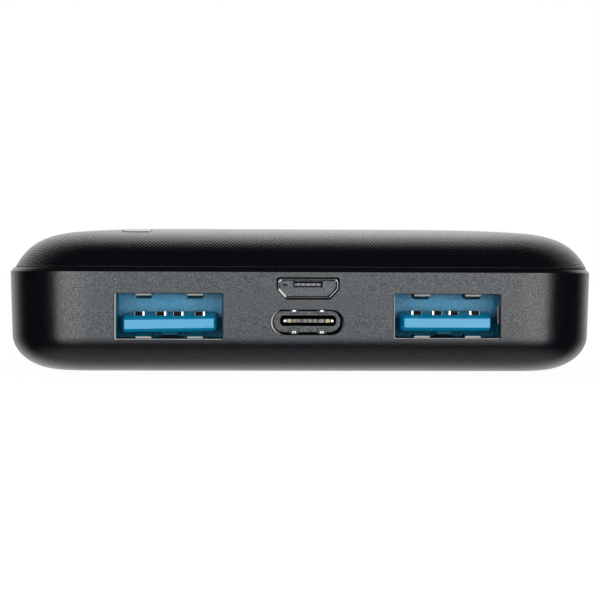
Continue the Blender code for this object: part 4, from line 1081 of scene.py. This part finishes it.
class POWERBANK_OT_oval_socket(Operator):
    """Builds the reversible oval socket: shell, collar with latch windows and double-sided tongue"""

    bl_idname = "powerbank.oval_socket"
    bl_label = "Oval Socket"

    def execute(self, context):
        settings = context.scene.power_bank_sockets
        low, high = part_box("oval_socket_shell")
        middle = (low[0] + high[0]) / 2 + 0.04 * MM
        mouth = low[1] + settings.mouth_setback
        steel = rolled_metal("oval_plated_steel", settings.steel, 0.30, DRAWN_LAY)
        shape = Shape()
        shell_tube(shape, oval_outline(), mouth, high[1], OVAL_FLARE, -0.13 * MM, flare=0.8 * MM)
        add_piece("oval_socket_steel", shape, steel, "case", ["oval_socket_shell"])
        level = (low[2] + high[2]) / 2
        slot_level = level + 0.17 * MM
        collar_front = mouth + 0.15 * MM
        tongue_tip = mouth + 0.45 * MM
        self.collar(settings, middle, level, slot_level, collar_front, high[1])
        self.tongue(settings, middle + 0.06 * MM, slot_level - 0.03 * MM, tongue_tip, high[1])
        return {"FINISHED"}

    def collar(self, settings, middle, level, slot_level, front, rear):
        """The dark ring that guides a plug, round a slot with a black plate of painted shade for its unlit
        depth.
        """
        grain, deep = 0.18 * MM, 0.016 * MM
        finish = moulded("collar_dark_plastic", settings.dark, 0.28, grain, deep, 0.74, sparkle=0.6)
        slot_half = 0.61 * MM
        reach = 3.40 * MM
        slot = rectangle(middle - reach, slot_level - slot_half, middle + reach, slot_level + slot_half)
        room = 0.31 * MM
        shift = np.array([-0.09, 0.06]) * MM
        corner = 0.45 * MM
        edge = 0.06 * MM
        depth = 3.0 * MM
        outer, outward = oval_outline(-room)
        outer = (outer + shift, outward)
        inner = rounded_outline(slot, corner, arc_points=14, run_points=6)
        flank = front_rings(outer, [0, 0, -edge], [rear - 0.5 * MM, front + edge, front])
        throat = front_rings(inner, [edge, 0, 0], [front, front + edge, front + depth])
        shape = Shape()
        shape.sweep(np.concatenate([flank, throat]))
        piece = add_piece("oval_socket_collar", shape, finish, "case")
        # Painted shade: a black plate deep in the slot stands for its unlit depth.
        floor = Shape()
        add_plate(floor, slot, front + 3.1 * MM, front + 2.4 * MM)
        add_piece("oval_socket_slot_shade", floor, matte_black("oval_slot_painted_shade"), "case")
        self.latches(settings, piece, finish, middle, level, front)

    def latches(self, settings, piece, finish, middle, level, front):
        """Four latch windows cut in the collar, each with a tab and a bright bead, the lower two with a dot.

        Each row gives the side of the slot, the window's inner edge, the bead's drop from the outer edge and
        half the bead's height.
        """
        windows, tabs, beads, dots = Shape(), Shape(), Shape(), Shape()
        half, tab_half, bead_half = 0.65 * MM, 0.50 * MM, 0.30 * MM
        lip = 0.04 * MM
        corner = 0.05 * MM
        reach = 1.47 * MM
        deep = front + 0.5 * MM
        seat = deep - 0.02 * MM
        for x in (middle - 1.72 * MM, middle + 1.68 * MM):
            for sign, inner, drop, tall in ((-1, 0.68, 0.20, 0.21), (1, 1.02, 0.10, 0.15)):
                edge_z = level + sign * reach
                foot, top = sorted((level + sign * inner * MM, edge_z))
                bead_z = edge_z - sign * drop * MM
                half_z = tall * MM
                add_bar(windows, x - half, foot, x + half, top, corner, deep, front - 0.5 * MM, 0.01 * MM)
                sides = (x - tab_half, foot + lip, x + tab_half, top - lip)
                add_bar(tabs, *sides, corner, seat, front + 0.06 * MM, 0.03 * MM)
                sides = (x - bead_half, bead_z - half_z, x + bead_half, bead_z + half_z)
                add_bar(beads, *sides, 0.95 * half_z, seat, front - 0.04 * MM, 0.06 * MM)
                if sign < 0:
                    add_bead(dots, x, front - 0.02 * MM, bead_z - 0.05 * MM, 0.11 * MM)
        cut_openings(piece, windows)
        add_piece("oval_socket_tabs", tabs, finish, "case")
        bright = rolled_metal("latch_bright_steel", lighter(settings.steel, 2.0), 0.16, EVEN_LAY)
        brown = rolled_metal("latch_dot_brown", lighter(settings.gold, 0.12), 0.5, EVEN_LAY)
        add_piece("oval_socket_beads", beads, bright, "case")
        add_piece("oval_socket_dots", dots, brown, "case")

    def tongue(self, settings, middle, level, tip, rear):
        """The flat tongue: steel pins at its ends, then gold pads, and grey pads on a dim strip between."""
        half, half_z = 3.10 * MM, 0.27 * MM
        strip_half = 2.0 * MM
        dark = moulded("oval_tongue_plastic", settings.dark, 0.35, 0.12 * MM, 0.004 * MM)
        bar = Shape()
        sides = (middle - half, level - half_z, middle + half, level + half_z)
        add_bar(bar, *sides, 0.14 * MM, rear - 0.5 * MM, tip + 0.05 * MM, 0.05 * MM)
        add_piece("oval_socket_bar", bar, dark, "case", ["oval_socket_tongue"])
        pins, gold, grey, strip = Shape(), Shape(), Shape(), Shape()
        pin_half = 0.20 * MM
        for sign in (-1, 1):
            inner, outer = sorted((middle + sign * 2.70 * MM, middle + sign * (half + 0.01 * MM)))
            sides = (inner, level - pin_half, outer, level + pin_half)
            add_bar(pins, *sides, 0.19 * MM, tip + 2.0 * MM, tip - 0.04 * MM, 0.05 * MM)
            inner, outer = sorted((middle + sign * 2.08 * MM, middle + sign * 2.64 * MM))
            self.pad(gold, inner, outer, level, tip)
        self.pad(strip, middle - strip_half, middle + strip_half, level, tip + 0.03 * MM)
        starts = np.array([-2.0, -1.42, -0.62, -0.05, 0.62, 1.28]) * MM
        widths = np.array([0.50, 0.30, 0.42, 0.46, 0.40, 0.62]) * MM
        for start, width in zip(middle + starts, widths):
            self.pad(grey, start, start + width, level, tip)
        steel = rolled_metal("oval_pin_steel", lighter(settings.steel, 2.4), 0.25, EVEN_LAY)
        plate = rolled_metal("oval_contact_gold", lighter(settings.gold, 0.45), 0.35, STAMPED_LAY)
        satin = rolled_metal("oval_pad_grey", lighter(settings.steel, 0.72), 0.45, PAD_LAY, swing=1.8)
        dim = rolled_metal("oval_strip_grey", lighter(settings.steel, 0.34), 0.45, PAD_LAY, swing=2.2)
        add_piece("oval_socket_pins", pins, steel, "case")
        add_piece("oval_socket_contacts", gold, plate, "case")
        add_piece("oval_socket_pads", grey, satin, "case")
        add_piece("oval_socket_strip", strip, dim, "case")

    def pad(self, shape, left, right, level, tip):
        """One flat pad across the tongue's front edge."""
        half = 0.23 * MM
        add_bar(shape, left, level - half, right, level + half, 0.04 * MM, tip + 2.0 * MM, tip, 0.03 * MM)


class POWERBANK_OT_small_socket(Operator):
    """Builds the small socket with cut lower corners, its dark face and its contact bar"""

    bl_idname = "powerbank.small_socket"
    bl_label = "Small Socket"

    def execute(self, context):
        settings = context.scene.power_bank_sockets
        low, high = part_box("small_socket_shell")
        middle = (low[0] + high[0]) / 2
        mouth = low[1] + 0.5 * settings.mouth_setback
        steel = rolled_metal("small_plated_steel", lighter(settings.steel, 0.6), 0.34, DRAWN_LAY)
        shape = Shape()
        shell_tube(shape, small_outline(-0.12 * MM), mouth, high[1], 0.0, -0.12 * MM)
        add_piece("small_socket_steel", shape, steel, "case", ["small_socket_shell"])
        # Painted highlight: the folds take a steel copy more than twice as light as the shell's, for the
        # light that their chamfers catch.
        bright = rolled_metal("fold_painted_highlight_steel", lighter(settings.steel, 1.4), 0.30, DRAWN_LAY)
        shape = Shape()
        self.folds(shape, mouth)
        add_piece("small_socket_fold_highlights", shape, bright, "case")
        slot_top = high[2] - 0.42 * MM
        slot_foot = slot_top - 0.75 * MM
        front = mouth + 0.8 * MM
        self.face(settings, middle, slot_foot, slot_top, front, high[1])
        self.bar(settings, middle, slot_foot, front, high[1])
        return {"FINISHED"}

    def folds(self, shape, mouth):
        """Flat folds of the lip, real facets with a painted highlight in their lighter steel: a wide one on
        the left lower slope, thin ones at the right, two in corners.

        Each strip names its first and last corner, its start and end as shares of the way between them, and
        its near and far edge in millimetres from that side.
        """
        corners = np.array(small_corners())
        rear, front = mouth + 0.5 * MM, mouth - 0.02 * MM
        strips = (
            (5, 0, 0.08, 0.88, 0.04, 0.29),
            (1, 2, 0.10, 0.95, 0.13, 0.21),
            (2, 3, 0.05, 0.75, 0.13, 0.19),
        )
        for first, last, start, end, near, far in strips:
            along = corners[last] - corners[first]
            inward = np.array([-along[1], along[0]]) / np.linalg.norm(along) * MM
            ends = corners[first] + np.outer([start, end], along)
            add_plate(shape, np.concatenate([ends + near * inward, ends[::-1] + far * inward]), rear, front)
        inset = 0.16 * MM
        for corner, sign, size in ((corners[4], 1, 0.50 * MM), (corners[3], -1, 0.36 * MM)):
            lower = corner + np.array([sign * inset, -size])
            upper = corner + np.array([sign * size, -inset])
            thick = np.array([sign * 0.10 * MM, -0.10 * MM])
            plate = [lower, lower + thick, upper + thick, upper]
            add_plate(shape, plate[::sign], rear, front)

    def face(self, settings, middle, slot_foot, slot_top, front, rear):
        """The dark plate at the back with its slot, a black plate of painted shade for the slot's unlit
        depth, and a small plug beside the slot.
        """
        grain, deep = 0.26 * MM, 0.02 * MM
        dark = moulded("small_face_plastic", settings.dark, 0.22, grain, deep, 0.80, sparkle=0.4)
        left, right = middle - 1.79 * MM, middle + 1.85 * MM
        waist = slot_foot + 0.4 * MM
        slot = [
            (left, slot_foot),
            (right, slot_foot),
            (right, waist),
            (right, slot_top),
            (left, slot_top),
            (left, waist),
        ]
        inner = rounded_outline(slot, 0.03 * MM, arc_points=6, run_points=5)
        flank = front_rings(small_outline(-0.36 * MM), [0, 0], [rear - 0.5 * MM, front])
        throat = front_rings(inner, [0, 0], [front, front + 2.2 * MM])
        # Painted shade: a black plate deep in the slot stands for its unlit depth.
        floor = Shape()
        add_plate(floor, slot, front + 2.3 * MM, front + 1.6 * MM)
        add_piece("small_socket_slot_shade", floor, matte_black("small_slot_painted_shade"), "case")
        shape = Shape()
        shape.sweep(np.concatenate([flank, throat]))
        add_piece("small_socket_face", shape, dark, "case")
        plug = Shape()
        plug_x = middle - 2.80 * MM
        plug_z = small_corners()[5][1] + 0.52 * MM
        half_x, half_z = 0.24 * MM, 0.10 * MM
        sides = (plug_x - half_x, plug_z - half_z, plug_x + half_x, plug_z + half_z)
        add_bar(plug, *sides, 0.08 * MM, front + 0.6 * MM, front - 0.02 * MM, 0.01 * MM)
        add_piece("small_socket_plug", plug, matte_black("small_plug_matte"), "case")

    def bar(self, settings, middle, slot_foot, front, rear):
        """The contact bar in the slot, with five pale contacts on its front."""
        left, right = middle - 1.66 * MM, middle + 1.60 * MM
        foot = slot_foot + 0.14 * MM
        top = foot + 0.40 * MM
        edge = 0.03 * MM
        bar = Shape()
        add_bar(bar, left, foot, right, top, 0.05 * MM, rear - 0.6 * MM, front - 0.1 * MM, edge)
        grey = moulded("small_bar_plastic", lighter(settings.dark, 20.0), 0.4, 0.1 * MM, 0.006 * MM)
        add_piece("small_socket_bar", bar, grey, "case", ["small_socket_tongue"])
        pale = lighter(settings.contact, 0.34)
        plate = rolled_metal("small_contact_plate", pale, 0.35, STAMPED_LAY, swing=1.3)
        contacts = Shape()
        for start in np.linspace(left + 0.35 * MM, right - 0.45 * MM, 5):
            sides = (start, foot + 0.08 * MM, start + 0.30 * MM, top - 0.06 * MM)
            add_bar(contacts, *sides, 0.04 * MM, front + 1.0 * MM, front - 0.14 * MM, edge)
        add_piece("small_socket_contacts", contacts, plate, "case")


class POWERBANK_OT_inner_parts(Operator):
    """Gives the board, its components and the cells their finishes"""

    bl_idname = "powerbank.inner_parts"
    bl_label = "Inner Parts"

    def execute(self, context):
        board = moulded("board_green_mask", (0.010, 0.090, 0.035), 0.34, 0.0012, 0.00001, swing=1.5)
        screw = rolled_metal("screw_steel", (0.55, 0.55, 0.57), 0.32, (3000.0, 3000.0, 300.0))
        chip = moulded("chip_black_resin", (0.012, 0.012, 0.013), 0.55, 0.0001, 0.000008)
        ferrite = moulded("ferrite_grey", (0.075, 0.075, 0.080), 0.62, 0.0003, 0.00003, swing=1.5)
        can = rolled_metal("capacitor_can", (0.66, 0.67, 0.68), 0.28, (3000.0, 3000.0, 200.0))
        emitter = moulded("light_emitter_resin", (0.82, 0.80, 0.66), 0.40, 0.0002, 0.000006)
        switch = moulded("switch_white_resin", (0.70, 0.70, 0.67), 0.45, 0.0002, 0.000006)
        foil = rolled_metal("pouch_foil", (0.70, 0.71, 0.73), 0.36, (400.0, 60.0, 400.0), 0.00002)
        tape = moulded("film_tape", (0.55, 0.42, 0.10), 0.30, 0.002, 0.00001)
        foam = moulded("foam_grey", (0.10, 0.10, 0.105), 0.92, 0.0005, 0.0001, swing=1.8)
        nickel = rolled_metal("nickel_strip", (0.62, 0.60, 0.56), 0.30, (2500.0, 250.0, 2500.0))
        card = moulded("fish_paper", (0.11, 0.13, 0.12), 0.75, 0.0008, 0.00002, swing=1.4)
        dressed = (
            (board, ["main_board"]),
            (screw, ["board_screw_left", "board_screw_right"]),
            (chip, ["controller_chip", "protection_chip", "thermistor"]),
            (ferrite, ["inductor_1", "inductor_2"]),
            (can, ["capacitor_1", "capacitor_2"]),
            (emitter, ["led_1", "led_2", "led_3", "led_4"]),
            (switch, ["switch_body", "switch_plunger"]),
            (foil, ["cell_lower", "cell_upper"]),
            (tape, ["cell_tape"]),
            (foam, ["lower_pad", "upper_pad"]),
            (nickel, ["lower_tab_minus", "lower_tab_plus", "upper_tab_minus", "upper_tab_plus"]),
            (card, ["insulating_card"]),
        )
        for finish, nodes in dressed:
            for node in nodes:
                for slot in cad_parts[node].material_slots:
                    slot.material = finish
        return {"FINISHED"}


class POWERBANK_OT_stage(Operator):
    """Sets the pale floor, the soft lights and the camera"""

    bl_idname = "powerbank.stage"
    bl_label = "Stage"

    def execute(self, context):
        scene = context.scene
        stage = scene.power_bank_stage
        scene.view_settings.view_transform = "Standard"
        self.floor(stage)
        self.world(scene)
        self.panel("panel_front", -9.0, 9.0, stage.front_light, stage.front_tint)
        self.panel("panel_left", -49.0, -9.0, stage.side_light, stage.side_tint)
        self.panel("panel_right", 9.0, 53.0, stage.side_light, stage.side_tint)
        self.panel("panel_fill", -50.0, 50.0, stage.fill_light, stage.front_tint, mirrored=False)
        self.camera(scene, stage)
        return {"FINISHED"}

    def floor(self, stage):
        """A wide flat square under the object, white to the camera, with the object's soft shadow."""
        reach = np.linspace(-6.0, 6.0, 2)
        x, y = np.meshgrid(reach, reach, indexing="xy")
        points = np.stack([x, y, np.zeros_like(x)], axis=-1).reshape(-1, 3)
        mesh = bpy.data.meshes.new("floor")
        mesh.from_pydata(points.tolist(), [], [(0, 1, 3, 2)])
        floor = bpy.data.objects.new("floor", mesh)
        bpy.context.scene.collection.objects.link(floor)
        finish = bpy.data.materials.new("floor_pale")
        finish.use_nodes = True
        tree = finish.node_tree
        tree.nodes.remove(tree.nodes["Principled BSDF"])
        path = add_node(tree, "ShaderNodeLightPath")
        plain = add_node(tree, "ShaderNodeBsdfDiffuse", Color=(*stage.floor, 1.0))
        faint = add_node(tree, "ShaderNodeBsdfDiffuse", Color=(0.22, 0.22, 0.22, 1.0))
        glow = add_node(tree, "ShaderNodeEmission", Strength=0.96)
        seen = add_node(tree, "ShaderNodeAddShader")
        choice = add_node(tree, "ShaderNodeMixShader")
        tree.links.new(faint.outputs[0], seen.inputs[0])
        tree.links.new(glow.outputs[0], seen.inputs[1])
        tree.links.new(path.outputs["Is Camera Ray"], choice.inputs["Fac"])
        tree.links.new(plain.outputs[0], choice.inputs[1])
        tree.links.new(seen.outputs[0], choice.inputs[2])
        tree.links.new(choice.outputs[0], tree.nodes["Material Output"].inputs["Surface"])
        mesh.materials.append(finish)
        floor.visible_glossy = False
        floor.visible_shadow = False

    def world(self, scene):
        """Light from behind, stronger higher up, and from below; plain white to the camera and in glass."""
        world = bpy.data.worlds.new("studio")
        scene.world = world
        world.use_nodes = True
        tree = world.node_tree
        back = tree.nodes["Background"]
        place = add_node(tree, "ShaderNodeTexCoord")
        axes = add_node(tree, "ShaderNodeSeparateXYZ")
        path = add_node(tree, "ShaderNodeLightPath")
        tree.links.new(place.outputs["Generated"], axes.inputs["Vector"])
        behind = spread(tree, axes.outputs["Y"], 0.02, 0.80, 0.43, 0.78)
        above = spread(tree, axes.outputs["Z"], 1.0, 2.1, 0.0, 1.0)
        below = spread(tree, axes.outputs["Z"], 0.0, 0.41, -0.60, -0.92)
        rearward = spread(tree, axes.outputs["Y"], 0.8, 1.3, -0.5, 0.5)
        brightest = combine(tree, "MULTIPLY", behind, above)
        brightest = combine(tree, "ADD", brightest, combine(tree, "MULTIPLY", below, rearward))
        for other in (path.outputs["Is Camera Ray"], path.outputs["Is Transmission Ray"]):
            brightest = combine(tree, "MAXIMUM", brightest, other)
        back.inputs["Color"].default_value = (1.0, 1.0, 1.0, 1.0)
        tree.links.new(brightest, back.inputs["Strength"])

    def panel(self, name, start, end, radiance, tint, mirrored=True):
        """A soft upright lamp between two bearings off straight ahead, which fades away towards its foot.

        The fade is the square of the height's share of the way up from the foot to the floor's level.
        """
        distance = 1.2
        turn = math.radians((start + end) / 2)
        half_turn = math.radians((end - start) / 2)
        low, high = -1.1, 0.21
        size = (2 * distance * math.tan(half_turn), high - low)
        lamp = bpy.data.lights.new(name, "AREA")
        lamp.shape = "RECTANGLE"
        lamp.size, lamp.size_y = size
        lamp.energy = radiance * math.pi * size[0] * size[1]
        lamp.color = tint
        lamp.use_nodes = True
        tree = lamp.node_tree
        place = add_node(tree, "ShaderNodeNewGeometry")
        axes = add_node(tree, "ShaderNodeSeparateXYZ")
        fade = add_node(tree, "ShaderNodeMath", {"operation": "POWER"})
        fade.inputs[1].default_value = 2.0
        tree.links.new(place.outputs["Position"], axes.inputs["Vector"])
        tree.links.new(spread(tree, axes.outputs["Z"], 0.0, 1.0, low, 0.0), fade.inputs[0])
        tree.links.new(fade.outputs["Value"], tree.nodes["Emission"].inputs["Strength"])
        panel = bpy.data.objects.new(name, lamp)
        bpy.context.scene.collection.objects.link(panel)
        away = np.array([math.sin(turn), -math.cos(turn), 0.0])
        turned = np.eye(4)
        turned[:3, 0] = (math.cos(turn), math.sin(turn), 0.0)
        turned[:3, 1] = (0.0, 0.0, 1.0)
        turned[:3, 2] = away
        turned[:3, 3] = np.array([0.0, FRONT, (low + high) / 2]) + distance * away
        panel.matrix_world = Matrix(turned.tolist())
        panel.visible_camera = False
        panel.visible_glossy = mirrored

    def camera(self, scene, stage):
        """The camera at eye level in front of the sockets."""
        yaw, pitch, roll = stage.turn
        right = np.array([math.cos(yaw), -math.sin(yaw), 0.0])
        ahead = np.array([math.sin(yaw) * math.cos(pitch), math.cos(yaw) * math.cos(pitch), math.sin(pitch)])
        up = np.cross(right, ahead)
        turned = np.eye(4)
        turned[:3, 0] = right * math.cos(roll) + up * math.sin(roll)
        turned[:3, 1] = up * math.cos(roll) - right * math.sin(roll)
        turned[:3, 2] = -ahead
        turned[:3, 3] = stage.camera
        data = bpy.data.cameras.new("camera")
        data.lens = stage.lens
        data.sensor_width = 36.0
        data.clip_start = 0.01
        camera = bpy.data.objects.new("camera", data)
        camera.matrix_world = Matrix(turned.tolist())
        scene.collection.objects.link(camera)
        scene.camera = camera


class POWERBANK_PT_build(Panel):
    """Lists the building steps and the settings"""

    bl_idname = "POWERBANK_PT_build"
    bl_label = "Power Bank"
    bl_space_type = "VIEW_3D"
    bl_region_type = "UI"
    bl_category = "Power Bank"

    def draw(self, context):
        layout = self.layout
        for group in SETTINGS:
            box = layout.box()
            settings = getattr(context.scene, group)
            for name in SETTINGS[group].__annotations__:
                box.prop(settings, name)
        for step in STEPS:
            layout.operator(step.bl_idname)


SETTINGS = {
    "power_bank_case": CaseSettings,
    "power_bank_cover": CoverSettings,
    "power_bank_button": ButtonSettings,
    "power_bank_sockets": SocketSettings,
    "power_bank_stage": StageSettings,
}
STEPS = (
    POWERBANK_OT_lower_case,
    POWERBANK_OT_top_cover,
    POWERBANK_OT_button,
    POWERBANK_OT_charge_lights,
    POWERBANK_OT_wide_sockets,
    POWERBANK_OT_oval_socket,
    POWERBANK_OT_small_socket,
    POWERBANK_OT_inner_parts,
    POWERBANK_OT_stage,
)


def register():
    for name, group in SETTINGS.items():
        bpy.utils.register_class(group)
        setattr(bpy.types.Scene, name, PointerProperty(type=group))
    for step in (*STEPS, POWERBANK_PT_build):
        bpy.utils.register_class(step)


def unregister():
    for step in (POWERBANK_PT_build, *reversed(STEPS)):
        bpy.utils.unregister_class(step)
    for name, group in reversed(SETTINGS.items()):
        delattr(bpy.types.Scene, name)
        bpy.utils.unregister_class(group)


def main():
    register()
    bpy.ops.powerbank.lower_case()
    bpy.ops.powerbank.top_cover()
    bpy.ops.powerbank.button()
    bpy.ops.powerbank.charge_lights()
    bpy.ops.powerbank.wide_sockets()
    bpy.ops.powerbank.oval_socket()
    bpy.ops.powerbank.small_socket()
    bpy.ops.powerbank.inner_parts()
    bpy.ops.powerbank.stage()


if __name__ == "__main__":
    main()
